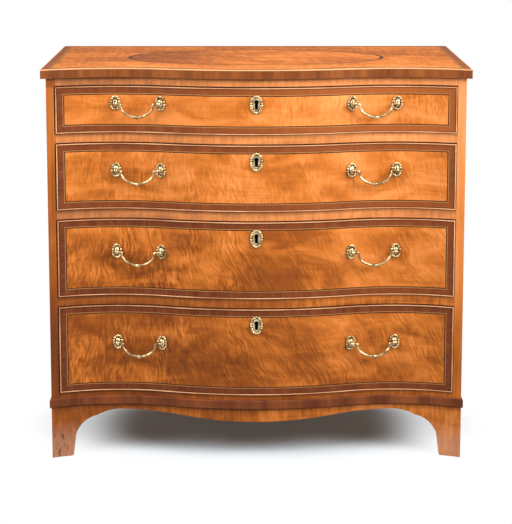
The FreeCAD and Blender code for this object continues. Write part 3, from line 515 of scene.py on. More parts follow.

# %% [markdown]
# ## Veneers of the four drawers
# Every drawer has its own leaf of satinwood. The upper two are pale and nearly even; the lower two
# are browner, with a bold ripple on the left, and their wood is also darker as painted shade. One
# finish for all would repeat the same figure four times, so one function builds each drawer's finish
# from its own numbers: how far the ripples lean, how strong they are and how pale the wood and the
# bands are on the left and on the right, and its patches.

# %% Veneers of the four drawers
LEAF_SIZES = ((0.0048, ENDLESS, 0.022), (0.30, ENDLESS, 0.0016), (0.12, ENDLESS, 0.05))
LEAF_SHIFT = (0.37, 0.0, 0.21)
UNEVEN_SIZE = (0.05, ENDLESS, 0.10)
RIPPLE_REACH = 0.06
FIELD_REACH = 0.35


def drawer_finish(number, lean, ripples, pales, band_pales, patches):
    """The veneers of one drawer front."""
    low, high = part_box(f"drawer_{number}_cockbeads")
    finish, tree, shader, place = new_finish(f"drawer_{number}_veneers")
    x, z = coordinates(tree, place, "XZ")
    shift = [number * step for step in LEAF_SHIFT]
    leaf = fanned(tree, place, x, z, (low.z + high.z) / 2, lean)
    uneven = clouds(tree, leaf, UNEVEN_SIZE, shift=shift, detail=2.0)
    uneven = spread(tree, uneven, 0.32, 0.62, 0.25, 1.0)
    strength = sums(tree, "MULTIPLY", spread(tree, x, -RIPPLE_REACH, RIPPLE_REACH, *ripples), uneven)
    pale = spread(tree, x, -FIELD_REACH, FIELD_REACH, *pales)
    for middle, size, amount in patches:
        pale = sums(tree, "ADD", pale, patch(tree, x, z, middle, size, amount))
    field, pores = satin_colour(tree, leaf, LEAF_SIZES, shift=shift, strength=strength, pale=pale)
    varnish(tree, shader, banded(tree, place, x, z, low, high, field, band_pales), pores)
    return finish


# Lean, then left and right values of ripples, wood and bands, then middle, size and amount of patches
# The wood tones are partly painted light: darker on the lower drawers and paler on the right. The bright
# patches on the right flank of the bow of drawers 1 and 4 are painted highlights, the dark patches near the
# middle of drawers 3 and 4 are painted shade, and the others are figure.
FIGURES = {
    1: (0.15, (0.5, 1.0), (0.04, 0.09), (0.10, 0.75), [((0.17, 0.77), (0.10, 0.06), 0.06)]),
    2: (0.20, (1.0, 0.7), (0.00, 0.06), (0.12, 0.40), [((-0.06, 0.60), (0.12, 0.05), 0.06)]),
    3: (0.50, (1.7, 0.8), (-0.09, 0.05), (0.0, 0.20),
        [((-0.20, 0.40), (0.13, 0.05), -0.08), ((0.06, 0.44), (0.16, 0.13), -0.14)]),
    4: (0.55, (1.6, 1.1), (-0.14, -0.05), (0.0, 0.10),
        [((-0.06, 0.22), (0.18, 0.10), -0.13), ((0.19, 0.25), (0.07, 0.08), 0.10),
         ((-0.34, 0.31), (0.16, 0.05), -0.07), ((0.10, 0.20), (0.09, 0.08), -0.08)]),
}
drawer_finishes = {number: drawer_finish(number, *FIGURES[number]) for number in DRAWERS}
print("veneers for", len(drawer_finishes), "drawers")

# %% [markdown]
# ## Beads and base moulding
# The cockbeads are thin strips of pale wood that stand proud round each drawer, and their pale tone
# also stands in for the highlight along them, a painted highlight. The moulding at the base is faced
# with the dark banding veneer. Both are narrow, so a simple blend of two tones with a fine grain is
# enough, and one function makes both.

# %% Beads and base moulding
PORE_SHARE = 0.3


def band_wood(name, grain, leaf, dark, light, line_above=None, line=None):
    """Varnished wood of two tones, with a fine grain and slow changes, and perhaps a line along its top."""
    finish, tree, shader, place = new_finish(name)
    hair = clouds(tree, place, grain, detail=3.0)
    tone = clouds(tree, place, leaf, detail=2.0)
    total = weighed(tree, PORE_SHARE, hair, tone)
    colour = blend(tree, spread(tree, total, 0.32, 0.7), dark, light)
    if line_above:
        (z,) = coordinates(tree, place, "Z")
        colour = blend(tree, sums(tree, "GREATER_THAN", z, line_above), colour, line)
    varnish(tree, shader, colour, hair)
    return finish


ACROSS = (0.0016, 0.0016, 0.05)
moulding_finish = band_wood(
    "crossbanded_moulding", ACROSS, (0.06, 0.06, ENDLESS),
    (0.100, 0.022, 0.008, 1), (0.300, 0.084, 0.024, 1),
)
bead_finish = band_wood(
    "cockbead_wood", (0.05, 0.05, 0.05), (0.12, 0.12, 0.12), (0.50, 0.195, 0.075, 1), (0.90, 0.47, 0.24, 1)
)
print("beads and moulding")

# %% [markdown]
# ## Edges of the top
# The top has a crossband round all four edges that follows the serpentine front. It could be cut as
# separate faces, but then its line would depend on the mesh. The front edge is the line of the
# drawers, moved out by the overhang, so the finish works out the same arcs with sums and measures
# how far each point lies from them. A pale line runs along the upper arris, partly a string and
# partly a painted highlight of the worn edge.

# %% Edges of the top
OVERHANG = 0.010
EDGE_DARK = (0.130, 0.031, 0.007, 1)
EDGE_LIGHT = (0.320, 0.094, 0.022, 1)
EDGE_LINE = (0.780, 0.400, 0.180, 1)


def top_front(tree, side):
    """The front line of the top at a distance to the side: the drawers' arcs, moved out."""
    bow_radius, hollow_radius = BOW_RADIUS + OVERHANG, HOLLOW_RADIUS - OVERHANG
    bow = sums(tree, "SQRT", sums(tree, "SUBTRACT", bow_radius**2, squared(tree, side)))
    bow = sums(tree, "SUBTRACT", CREST - OVERHANG + bow_radius, bow)
    along = sums(tree, "SUBTRACT", side, HOLLOW_X)
    hollow = sums(tree, "SQRT", sums(tree, "SUBTRACT", hollow_radius**2, squared(tree, along)))
    hollow = sums(tree, "ADD", hollow, CREST - OVERHANG + BOW_DEPTH - hollow_radius)
    beyond = sums(tree, "GREATER_THAN", side, HOLLOW_X * bow_radius / (bow_radius + hollow_radius))
    return sums(tree, "ADD", bow, sums(tree, "MULTIPLY", beyond, sums(tree, "SUBTRACT", hollow, bow)))


def edge_band(tree, place, grain):
    """Crossband of the top, with its grain across the edge."""
    hair = clouds(tree, place, grain, detail=3.0)
    return blend(tree, spread(tree, hair, *USUAL), EDGE_DARK, EDGE_LIGHT)


# Pale line at the top of the edge: partly a string, partly a painted highlight.
ARRIS_STRING_AND_HIGHLIGHT = 0.0024
top_edge = band_wood(
    "crossbanded_edge", ACROSS, (0.03, 0.03, ENDLESS), EDGE_DARK, EDGE_LIGHT,
    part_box("top_board")[1].z - ARRIS_STRING_AND_HIGHLIGHT, EDGE_LINE,
)
print("overhang of the top", OVERHANG * 1000, "mm")

# %% [markdown]
# ## Veneers of the top
# In the middle of the top lies a large oval of another leaf, darker on its left, inside a dark line.
# An oval is one sum of squares, so it needs no drawing: where the sum is below one, the inner leaf
# shows, and close to one, the line. The leaf round it is paler towards the front. The crossband and
# its strings then go on as on the drawers.

# %% Veneers of the top
OVAL_WIDTH = 0.284
OVAL_DEPTH = 0.1755
OVAL_LINE = 0.014
OVAL_TURN = (0, 0, math.radians(25))
OVAL_SHIFT = (0.4, 0, 0)
OVAL_FADE = (-0.25, 0.0)
OVAL_TONES = (-0.30, -0.05)
TOP_RIPPLE = (0.010, 0.05, ENDLESS)
TOP_GRAIN = (0.30, 0.0016, ENDLESS)
TOP_FADE = (0.25, 0.03)
TOP_TONES = (-0.10, 0.01)
TOP_ARRIS = 0.0016
TOP_BAND_END = 0.0178
TOP_PALE_END = 0.0190
TOP_DARK_END = 0.0205


def oval_inlay(tree, place, x, y, field):
    """The oval leaf and its dark line, laid into the field."""
    inner = satin_colour(
        tree, place, (TOP_RIPPLE, TOP_GRAIN, (0.14, 0.10, ENDLESS)), OVAL_TURN, OVAL_SHIFT,
        strength=0.8, pale=spread(tree, x, *OVAL_FADE, *OVAL_TONES), patchy=0.10,
    )[0]
    wide = squared(tree, sums(tree, "DIVIDE", x, OVAL_WIDTH))
    deep = squared(tree, sums(tree, "DIVIDE", y, OVAL_DEPTH))
    ring = sums(tree, "SQRT", sums(tree, "ADD", wide, deep))
    colour = blend(tree, sums(tree, "LESS_THAN", ring, 1.0), field, inner)
    return blend(tree, sums(tree, "LESS_THAN", apart(tree, ring, 1.0), OVAL_LINE), colour, DARK_LINE)


def top_finish():
    """Field, oval, string lines and crossband of the top."""
    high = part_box("top_board")[1]
    finish, tree, shader, place = new_finish("top_veneers")
    x, y = coordinates(tree, place, "XY")
    side = sums(tree, "ABSOLUTE", x)
    from_front = sums(tree, "SUBTRACT", y, top_front(tree, side))
    from_long = sums(tree, "MINIMUM", from_front, sums(tree, "SUBTRACT", high.y, y))
    from_end = sums(tree, "SUBTRACT", high.x, side)
    edge = sums(tree, "MINIMUM", from_long, from_end)
    pale = spread(tree, from_front, *TOP_FADE, *TOP_TONES)
    field, pores = satin_colour(
        tree, place, (TOP_RIPPLE, TOP_GRAIN, (0.20, 0.08, ENDLESS)), strength=0.6, pale=pale, patchy=0.10
    )
    colour = oval_inlay(tree, place, x, y, field)
    band = edge_band(tree, place, (0.0014, 0.05, ENDLESS))
    end_band = edge_band(tree, place, (0.05, 0.0014, ENDLESS))
    band = blend(tree, sums(tree, "LESS_THAN", from_end, from_long), band, end_band)
    lines = ((TOP_DARK_END, DARK_LINE), (TOP_PALE_END, PALE_LINE))
    # The pale line at the arris is partly a string and partly a painted highlight.
    colour = inlaid(tree, edge, colour, lines + ((TOP_BAND_END, band), (TOP_ARRIS, EDGE_LINE)))
    varnish(tree, shader, colour, pores, rough=(0.50, 0.64), gloss=0.012)
    return finish


top_veneers = top_finish()
print("top with an oval of", 2 * OVAL_WIDTH, "by", 2 * OVAL_DEPTH, "m")

# %% [markdown]
# ## Bare woods
# Inside, the drawers are lined with oak and the carcase is softwood, both unpolished. The core of the
# drawer fronts is a plain brown wood that shows at their edges and between the dovetails. Faces in
# the narrow gaps of the case, and in keyholes and locks, are painted nearly black as shade. All
# four are the same kind of finish, matt, with streaks along the grain and fine pores, so they share
# one function.

# %% Bare woods
def bare_wood(name, dark, light, streaks, lines):
    """Unpolished wood with streaks along the grain and fine pores."""
    finish, tree, shader, place = new_finish(name)
    streak = clouds(tree, place, streaks, detail=5.0, swirl=0.4)
    pores = clouds(tree, place, lines, detail=3.0)
    total = weighed(tree, PORE_SHARE, pores, streak)
    join(tree, blend(tree, spread(tree, total, *USUAL), dark, light), shader.inputs["Base Color"])
    join(tree, spread(tree, pores, *USUAL, 0.55, 0.75), shader.inputs["Roughness"])
    bump = add_node(tree, "ShaderNodeBump", {"Height": pores, "Distance": 0.0002, "Strength": 0.5})
    join(tree, bump.outputs["Normal"], shader.inputs["Normal"])
    shader.inputs["Specular IOR Level"].default_value = 0.3
    return finish


softwood = bare_wood(
    "softwood", (0.46, 0.21, 0.080, 1), (0.72, 0.41, 0.18, 1), (0.02, 0.02, 0.5), (0.003, 0.003, 0.2)
)
# Nearly black, as painted shade in the gaps, keyholes and locks.
gap_shade = bare_wood(
    "painted_gap_shade", (0.020, 0.010, 0.006, 1), (0.060, 0.028, 0.014, 1), (0.1, 0.1, 0.1), (0.004, 0.004, 0.004)
)
oak = bare_wood(
    "oak_linings", (0.38, 0.215, 0.095, 1), (0.59, 0.375, 0.19, 1), (0.02, 0.45, 0.02), (0.002, 0.06, 0.002)
)
core_wood = bare_wood(
    "core_wood", (0.130, 0.048, 0.017, 1), (0.270, 0.115, 0.045, 1), (0.25, 0.02, 0.02), (0.06, 0.002, 0.002)
)
print("softwood, oak, core wood and grime")

# %% [markdown]
# ## Brass and steel
# The handles and keyhole plates are old brass, bright in patches, dull elsewhere, and dark in the
# hollows of the casting. The lock is plainer brass with a steel bolt. A metal shows its wear in
# colour and in roughness, so a broad pattern leads the colour and fine specks the roughness. A
# narrow black rim of painted shade, the dark of the hole, surrounds each keyhole and follows its
# form, a round head over a slot, so the rim is drawn in the finish by the distance from both.

# %% Brass and steel
HEAD_RISE = 0.0053
HEAD_RADIUS = 0.0046
SLOT_WIDTH = 0.0070
SLOT_DROP = 0.0098
KEYHOLE_SHADE = (0.012, 0.008, 0.004, 1)
WEAR_SIZE = (0.009, 0.009, 0.009)
SPECK_SIZE = (0.0016, 0.0016, 0.0016)


def keyhole_shade_rims(tree, place, colour):
    """Black rims of painted shade round the heads and slots of the keyholes."""
    x, z = coordinates(tree, place, "XZ")
    narrow = sums(tree, "LESS_THAN", sums(tree, "ABSOLUTE", x), SLOT_WIDTH / 2)
    slot_height = HEAD_RISE + SLOT_DROP
    for number in DRAWERS:
        low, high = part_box(f"drawer_{number}_escutcheon")
        head_z = (low.z + high.z) / 2 + HEAD_RISE
        away = sums(tree, "ADD", squared(tree, x), squared(tree, apart(tree, z, head_z)))
        head = sums(tree, "LESS_THAN", away, HEAD_RADIUS**2)
        level = sums(tree, "LESS_THAN", apart(tree, z, head_z - slot_height / 2), slot_height / 2)
        slot = sums(tree, "MULTIPLY", narrow, level)
        colour = blend(tree, sums(tree, "MAXIMUM", head, slot), colour, KEYHOLE_SHADE)
    return colour


def old_metal(name, dull, bright, rough, shaded_keyholes=False):
    """Metal with bright wear in patches and fine specks, and perhaps black rims of painted shade round the
    keyholes.
    """
    finish, tree, shader, place = new_finish(name)
    wear = clouds(tree, place, WEAR_SIZE, detail=5.0, rough=0.6)
    specks = clouds(tree, place, SPECK_SIZE, detail=3.0)
    colour = blend(tree, spread(tree, wear, 0.35, 0.7), dull, bright)
    if shaded_keyholes:
        colour = keyhole_shade_rims(tree, place, colour)
    join(tree, colour, shader.inputs["Base Color"])
    join(tree, spread(tree, specks, *USUAL, *rough), shader.inputs["Roughness"])
    bump = add_node(tree, "ShaderNodeBump", {"Height": specks, "Distance": 0.0001, "Strength": 0.4})
    join(tree, bump.outputs["Normal"], shader.inputs["Normal"])
    shader.inputs["Metallic"].default_value = 1.0
    return finish


brass = old_metal("aged_brass", (0.20, 0.130, 0.055, 1), (0.76, 0.580, 0.320, 1), (0.22, 0.38))
plate_brass = old_metal(
    "plate_brass", (0.30, 0.210, 0.100, 1), (0.78, 0.640, 0.400, 1), (0.22, 0.38), shaded_keyholes=True
)
dark_brass = old_metal("brass_hollows", (0.06, 0.04, 0.018, 1), (0.16, 0.11, 0.05, 1), (0.45, 0.6))
lock_brass = old_metal("lock_brass", (0.34, 0.23, 0.10, 1), (0.62, 0.47, 0.24, 1), (0.3, 0.45))
bolt_steel = old_metal("bolt_steel", (0.20, 0.19, 0.18, 1), (0.46, 0.45, 0.44, 1), (0.32, 0.5))
print("brass and steel")

# %% [markdown]
# ## Glued joints
# In the frame, a drawer front is glued up from three lengths of wood, and the beads and the base
# moulding are mitred from several strips. On the finished chest no joint shows, so the faces where
# two lengths touch are taken out before the edges are rounded: each of them has another face lying
# on it, turned the other way, which a search tree finds quickly. The lengths then become one closed
# skin.

# %% Glued joints
TOUCHING = 0.00001
OPPOSITE = -0.99


def pick_only(piece):
    """Make one piece the only selected and active one."""
    bpy.ops.object.select_all(action="DESELECT")
    piece.select_set(True)
    bpy.context.view_layer.objects.active = piece


def open_joints(piece):
    """Delete the faces on which another face lies, turned the other way."""
    bpy.ops.object.mode_set(mode="EDIT")
    bpy.ops.mesh.select_mode(type="FACE")
    bpy.ops.mesh.select_all(action="DESELECT")
    bpy.ops.object.mode_set(mode="OBJECT")
    lying = BVHTree.FromObject(piece, bpy.context.evaluated_depsgraph_get())
    for face in piece.data.polygons:
        near = lying.find_nearest_range(face.center, TOUCHING)
        face.select = any(normal.dot(face.normal) < OPPOSITE for _, normal, _, _ in near)
    bpy.ops.object.mode_set(mode="EDIT")
    bpy.ops.mesh.delete(type="FACE")
    bpy.ops.mesh.select_mode(type="VERT")
    bpy.ops.object.mode_set(mode="OBJECT")


print("glued joints can be opened")

# %% [markdown]
# ## Worn edges
# On a real chest no edge is knife sharp: handling and polishing round every arris, and that thin
# round catches a line of light. The solids have sharp edges, so each piece that shows on the shut
# chest is copied, its loose triangles are merged into clean faces, and a bevel of at most a
# millimetre goes along every sharp edge. The bevel only takes wood away, so the copy stays inside its
# solid. Weighted normals then let the wide faces lead the shading, so that only the narrow round
# turns with the light.

# %% Merged copies
SAME_POINT = 0.000005
SAME_PLANE = math.radians(0.05)


def merged_copy(node, name, glued):
    """A copy of a solid with its triangles merged into clean faces."""
    piece = bpy.data.objects.new(name, frame["nodes"][node].data.copy())
    bpy.context.scene.collection.objects.link(piece)
    pick_only(piece)
    if glued:
        open_joints(piece)
    bpy.ops.object.mode_set(mode="EDIT")
    bpy.ops.mesh.select_all(action="SELECT")
    bpy.ops.mesh.remove_doubles(threshold=SAME_POINT)
    if glued:
        bpy.ops.mesh.fill_holes(sides=0)
    bpy.ops.mesh.select_all(action="SELECT")
    bpy.ops.mesh.dissolve_limited(angle_limit=SAME_PLANE)
    bpy.ops.object.mode_set(mode="OBJECT")
    return piece


print("copies can be merged")

# %% Worn copies
SHARP = math.radians(28)


def worn_copy(node, name, ease, finish, segments=2, glued=False):
    """A merged copy with rounded edges, standing for its solid on the same body."""
    piece = merged_copy(node, name, glued)
    if ease:
        bevel = piece.modifiers.new("worn", "BEVEL")
        bevel.width = ease
        bevel.segments = segments
        bevel.limit_method = "ANGLE"
        bevel.angle_limit = SHARP
        bpy.ops.object.modifier_apply(modifier="worn")
    piece.data.materials.clear()
    piece.data.materials.append(finish)
    bpy.ops.object.shade_smooth_by_angle(angle=SHARP)
    even = piece.modifiers.new("even", "WEIGHTED_NORMAL")
    even.keep_sharp = True
    bpy.ops.object.modifier_apply(modifier="even")
    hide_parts(node)
    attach(piece, frame["nodes"][node]["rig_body"])
    return piece


print("edges sharper than", round(math.degrees(SHARP)), "degrees get rounded")

# %% [markdown]
# ## Second finishes
# Many pieces have more than one surface: a side board is satinwood outside, painted nearly black as
# shade inside the case, and its front edge shows as a stile. Cutting it into several pieces would be
# wrong, because it is one board. So the faces that are meant are picked by where they lie and which
# way they look, and only these get the other finish.

# %% Second finishes
def second_finish(piece, finish, is_meant):
    """Give a second finish to the faces that a test of their middle and normal picks out."""
    piece.data.materials.append(finish)
    index = len(piece.data.materials) - 1
    for face in piece.data.polygons:
        if is_meant(face.center, face.normal):
            face.material_index = index


def on_stile(middle, normal):
    """The front edge of a side board."""
    return normal.y < -0.5


def in_case(middle, normal):
    """The inner face of a side board."""
    return normal.x * middle.x < -0.95 * abs(middle.x)


def in_gap(middle, normal):
    """The upper and lower faces of a rail."""
    return abs(normal.z) > 0.95


print("second finishes ready")

# %% [markdown]
# ## Pieces of the case
# The case is two sides, five front rails, the aprons with the bracket feet, and the moulding between
# case and feet. Larger boards are worn rounder than thin rails, so each piece has its own width of
# bevel. What faces a neighbour across a gap is painted nearly black as shade, so the drawers are set
# off by dark lines.

# %% Pieces of the case
BOARD_EASE = 0.0007
RAIL_EASE = 0.0005
MOULDING_EASE = 0.0006
for name in ("left_side", "right_side"):
    side = worn_copy(name, f"{name}_worn", BOARD_EASE, side_satin)
    second_finish(side, stile_satin, on_stile)
    second_finish(side, gap_shade, in_case)
for name in ("top_front_rail", "drawer_rails", "bottom_front_rail"):
    rail = worn_copy(name, f"{name}_worn", RAIL_EASE, rail_satin)
    second_finish(rail, gap_shade, in_gap)
for name in ("front_apron", "side_aprons"):
    worn_copy(name, f"{name}_worn", BOARD_EASE, apron_satin)
worn_copy("base_moulding", "base_moulding_worn", MOULDING_EASE, moulding_finish, glued=True)

# %% [markdown]
# ## Top board
# The top is touched most, so its edge has the widest round, made in three steps to stay smooth. The
# upright edge is banded on its own, and the veneers of the upper face would smear down it, so the
# faces that look sideways get the edge's own finish.

# %% Top board
TOP_EASE = 0.0010


def on_edge(middle, normal):
    """The upright edge of the top."""
    return abs(normal.z) < 0.6


top = worn_copy("top_board", "top_board_worn", TOP_EASE, top_veneers, segments=3)
second_finish(top, top_edge, on_edge)
print("top board with", len(top.data.polygons), "faces")

# %% [markdown]
# ## Drawer fronts and beads
# Each front carries its veneers, and the walls of its keyhole are painted dark as shade. The beads
# come with their round noses from the solids, so they are merged without a bevel. What doesn't look
# forward, on fronts and beads alike, is seen only on an open drawer and has the brown of the core.

# %% Drawer fronts and beads
FRONT_EASE = 0.0003
KEYHOLE_REACH = 0.008


def in_keyhole(middle, normal):
    """Walls of the keyhole through plate and wood."""
    return abs(middle.x) < KEYHOLE_REACH and abs(normal.y) < 0.1


def behind_veneer(middle, normal):
    """Edges, ends and back of a front, and the sides of its beads."""
    return normal.y > -0.2


for number in DRAWERS:
    front = worn_copy(
        f"drawer_{number}_front", f"drawer_{number}_front_veneered", FRONT_EASE, drawer_finishes[number],
        glued=True,
    )
    second_finish(front, core_wood, behind_veneer)
    second_finish(front, gap_shade, in_keyhole)
    beads = worn_copy(
        f"drawer_{number}_cockbeads", f"drawer_{number}_beads_rounded", 0, bead_finish, glued=True
    )
    second_finish(beads, core_wood, behind_veneer)
print("fronts and beads of", len(DRAWERS), "drawers")

# %% [markdown]
# ## Brass castings and locks
# Keyhole plates, rosettes with their posts, and swinging bails are cast brass with slightly soft
# edges. The sunk ovals and the necks of the posts stay dark, as no hand polishes them, and they are
# found by how far they stand out from the line of the front. The walls of the keyhole and the lock
# behind it are painted nearly black as shade.

# %% Brass castings and locks
CAST_EASE = 0.0002
SUNK = (0.0009, 0.0018)
NECK = (0.0038, 0.0098)
HANDLES_FROM = 0.1
KEY_WAY = 0.0095


def in_hollow(middle, normal):
    """Sunk faces of keyhole plates and rosettes, and the necks of the posts."""
    reach = front_y(middle.x) - middle.y
    sunk = SUNK[0] < reach < SUNK[1] and normal.y < -0.85
    neck = NECK[0] < reach < NECK[1] and abs(middle.x) > HANDLES_FROM
    return sunk or neck


def in_lock(middle, normal):
    """The face of a lock behind its keyhole, and what lies in the way of the key."""
    return normal.y < -0.9 or abs(middle.x) < KEY_WAY


for number in DRAWERS:
    for name in ("escutcheon", "left_bail", "right_bail", "handle_fittings"):
        metal = plate_brass if name == "escutcheon" else brass
        cast = worn_copy(f"drawer_{number}_{name}", f"drawer_{number}_{name}_cast", CAST_EASE, metal)
        if name in ("escutcheon", "handle_fittings"):
            second_finish(cast, dark_brass, in_hollow)
            second_finish(cast, gap_shade, in_keyhole)
    lock = worn_copy(
        f"drawer_{number}_lock", f"drawer_{number}_lock_plate", CAST_EASE, lock_brass
    )
    second_finish(lock, gap_shade, in_lock)

# %% [markdown]
# ## One petal and one boss
# The rosettes and keyhole plates are cast with a ring of small petals, which give them their
# scalloped rims, and each rosette swells to a smooth boss round its post. A bumpy finish would not
# change the outline, so they are modelled. Both start as a ball cut in half and flattened. The petal
# is drawn in at its inner end, and as there will be hundreds of them, it has few faces.

# %% Half a ball
def half_ball(segments, rings):
    """The upper half of a ball, closed underneath at Z = 0, with nothing left selected in it."""
    bpy.ops.object.select_all(action="DESELECT")
    bpy.ops.mesh.primitive_uv_sphere_add(segments=segments, ring_count=rings, radius=1.0)
    bpy.ops.object.mode_set(mode="EDIT")
    bpy.ops.mesh.select_all(action="SELECT")
    bpy.ops.mesh.bisect(plane_co=(0, 0, 0), plane_no=(0, 0, 1), clear_inner=True, use_fill=True)
    bpy.ops.mesh.select_all(action="DESELECT")
    bpy.ops.object.mode_set(mode="OBJECT")
    return bpy.context.active_object


def to_size(piece, length, width, height):
    """Bring a half ball, which is still the selected object, to its size."""
    bpy.ops.transform.resize(value=(length / 2, width / 2, height))
    bpy.ops.object.transform_apply(location=True, rotation=True, scale=True)
    bpy.ops.object.shade_smooth()
    return piece


print("half balls ready")

# %% One petal and one boss
PETAL_SIZE = (0.0050, 0.0060, 0.0017)
PETAL_MESH = (12, 6)
BOSS_SIZE = (0.0126, 0.0204, 0.0056)
BOSS_MESH = (24, 12)
INNER_END = -0.3
DRAWN_IN = (1.25, 0.8, 0.9)


def petal(length, width, height):
    """A petal along X, narrower at its inner end."""
    piece = half_ball(*PETAL_MESH)
    for corner in piece.data.vertices:
        corner.select = corner.co.x < INNER_END
    bpy.ops.object.mode_set(mode="EDIT")
    bpy.ops.transform.resize(value=DRAWN_IN, center_override=(0, 0, 0))
    bpy.ops.object.mode_set(mode="OBJECT")
    return to_size(piece, length, width, height)


first_petal = petal(*PETAL_SIZE)
first_boss = to_size(half_ball(*BOSS_MESH), *BOSS_SIZE)
print("petal with", len(first_petal.data.polygons), "faces, boss with", len(first_boss.data.polygons))

# %% [markdown]
# ## Rings of petals
# Round each oval the petals point outwards, and they lie on a front that is curved, so no two of
# them face quite the same way. An array would put them on a circle, so each copy is placed by sums:
# along the oval, turned to point out of it, and then carried to the front and turned with it.

# %% Rings of petals
def on_front(source, x, z, along, reach, up, out):
    """A copy at x and z on the drawer front, moved along, off and up it, and turned on it."""
    seat = Matrix.Translation((x, front_y(x), z)) @ Matrix.Rotation(face_turn(x), 4, "Z")
    lying = Matrix(((math.cos(out), -math.sin(out), 0), (0, 0, -1), (math.sin(out), math.cos(out), 0)))
    copy = bpy.data.objects.new("copy", source.data.copy())
    bpy.context.scene.collection.objects.link(copy)
    copy.matrix_world = seat @ Matrix.Translation((along, -reach, up)) @ lying.to_4x4()
    return copy


def petal_ring(x, z, width, height, count, reach):
    """Copies of the petal round an oval on the drawer front."""
    made = []
    for index in range(count):
        around = 2 * math.pi * (index + 0.5) / count
        along, up = width / 2 * math.cos(around), height / 2 * math.sin(around)
        out = math.atan2(up * width / height, along * height / width)
        made.append(on_front(first_petal, x, z, along, reach, up, out))
    return made


def joined(made, name, node):
    """Join the copies on one drawer, with the brass finish, on the body that carries the node."""
    pick_only(made[0])
    for copy in made:
        copy.select_set(True)
    bpy.ops.object.join()
    bpy.ops.object.transform_apply(location=True, rotation=True, scale=True)
    piece = bpy.context.active_object
    piece.name = name
    piece.data.name = name
    piece.data.materials.append(brass)
    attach(piece, frame["nodes"][node]["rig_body"])
    return piece


print("rings ready")

# %% [markdown]
# ## Petals on every drawer
# A keyhole plate takes twenty petals and each of the four rosettes fourteen and a boss, so that
# neighbours run into each other. All of one kind on a drawer are joined into one piece, because in
# the casting they are one with their plates, and they ride the drawer as the plates do.

# %% Petals on every drawer
HANDLE_X = 0.254
HALF_SPAN = 0.04875
POSTS = [handle + end for handle in (-HANDLE_X, HANDLE_X) for end in (-HALF_SPAN, HALF_SPAN)]
POST_RISE = 0.014
BOSS_REACH = 0.0012
# Width and height of the oval, number of petals, and how far they stand off the front
KEYHOLE_RING = (0.0230, 0.0360, 20, 0.0021)
ROSETTE_RING = (0.0182, 0.0284, 14, 0.0026)
for number in DRAWERS:
    low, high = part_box(f"drawer_{number}_escutcheon")
    petals = petal_ring(0.0, (low.z + high.z) / 2, *KEYHOLE_RING)
    joined(petals, f"drawer_{number}_keyhole_petals", f"drawer_{number}_escutcheon")
    low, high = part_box(f"drawer_{number}_front")
    petals = []
    post_z = (low.z + high.z) / 2 + POST_RISE
    for x in POSTS:
        petals += petal_ring(x, post_z, *ROSETTE_RING)
        petals.append(on_front(first_boss, x, post_z, 0, BOSS_REACH, 0, 0))
    joined(petals, f"drawer_{number}_rosette_petals", f"drawer_{number}_handle_fittings")
bpy.data.objects.remove(first_petal)
bpy.data.objects.remove(first_boss)

# %% [markdown]
# ## Pieces inside
# Drawer linings, back boards, runners, blocks and bolts show only when a drawer is open or from
# behind. Their solids have the right shapes already, so they stay as they are and only get a
# finish: bare oak, bare softwood or metal, by what each is made of.

# %% Pieces inside
inside = {"softwood": softwood, "oak": oak, "lock_brass": lock_brass, "bolt_steel": bolt_steel}
made_of = {row["node"]: row["material_slot"] for row in frame["record"]["subparts"]}
dressed = 0
for node, solid in frame["nodes"].items():
    if made_of[node] in inside and not solid.hide_render:
        solid.data.materials.clear()
        solid.data.materials.append(inside[made_of[node]])
        dressed += 1
print("finishes on", dressed, "inner solids")

# %% [markdown]
# ## Studio white
# The chest stands on a pale studio floor in front of a white backdrop, with a soft shadow under it.
# A floor lit to full white would need so much light that the wood would fade. So the floor is plain
# paint in an oval round the feet, where it keeps the shadow, and turns into pure white further out,
# as seen by the camera and in reflections. As a source of bounced light it is much darker. The
# backdrop catches no shadow, so its fade ends below any distance and it is white all over.

# %% Studio white
STAGE_BOUNCE = (0.30, 0.30, 0.30, 1)
STAGE_LIFT = 0.03


def seen_directly(tree):
    """One for the camera, reflections and views through glass, and zero for bounced light."""
    path = add_node(tree, "ShaderNodeLightPath").outputs
    seen = sums(tree, "ADD", path["Is Camera Ray"], path["Is Glossy Ray"])
    return sums(tree, "ADD", seen, path["Is Transmission Ray"], clamp=True)


def white_stage(name, colour, middle, reach, fade):
    """Paint with a little white in it, in an oval round the middle, that fades into pure white outside."""
    finish = bpy.data.materials.new(name)
    finish.use_nodes = True
    tree = finish.node_tree
    tree.nodes.clear()
    place = add_node(tree, "ShaderNodeTexCoord").outputs["Object"]
    laid = add_node(
        tree, "ShaderNodeMapping",
        {"Vector": place, "Location": middle, "Scale": reach}, vector_type="TEXTURE",
    ).outputs[0]
    away = add_node(tree, "ShaderNodeVectorMath", {0: laid}, operation="LENGTH").outputs["Value"]
    seen = seen_directly(tree)
    share = sums(tree, "MULTIPLY", seen, spread(tree, away, *fade, STAGE_LIFT, 1.0))
    paint = add_node(tree, "ShaderNodeBsdfDiffuse", {"Color": blend(tree, seen, STAGE_BOUNCE, colour)})
    white = add_node(tree, "ShaderNodeEmission", {"Color": (1, 1, 1, 1), "Strength": 1.0})
    mixed = add_node(tree, "ShaderNodeMixShader", {0: share, 1: paint.outputs[0], 2: white.outputs[0]})
    add_node(tree, "ShaderNodeOutputMaterial", {"Surface": mixed.outputs[0]})
    return finish


floor_white = white_stage(
    "floor_white", (0.85, 0.92, 0.97, 1), middle=(0, 0.03, 0), reach=(0.48, 0.36, 1.0), fade=(0.60, 1.15)
)
backdrop_white = white_stage(
    "backdrop_white", (0.93, 0.93, 0.93, 1), middle=(0, 0, 0), reach=(1, 1, 1), fade=(-2.0, -1.0)
)
print("studio white for floor and backdrop")

# %% [markdown]
# ## Floor and backdrop
# The floor is a disc so wide that its rim is never seen, and the backdrop stands far behind, low
# enough not to hide the light. A curved sweep is common in studios, but as both are white their
# meeting line does not show, so two flat shapes are enough.

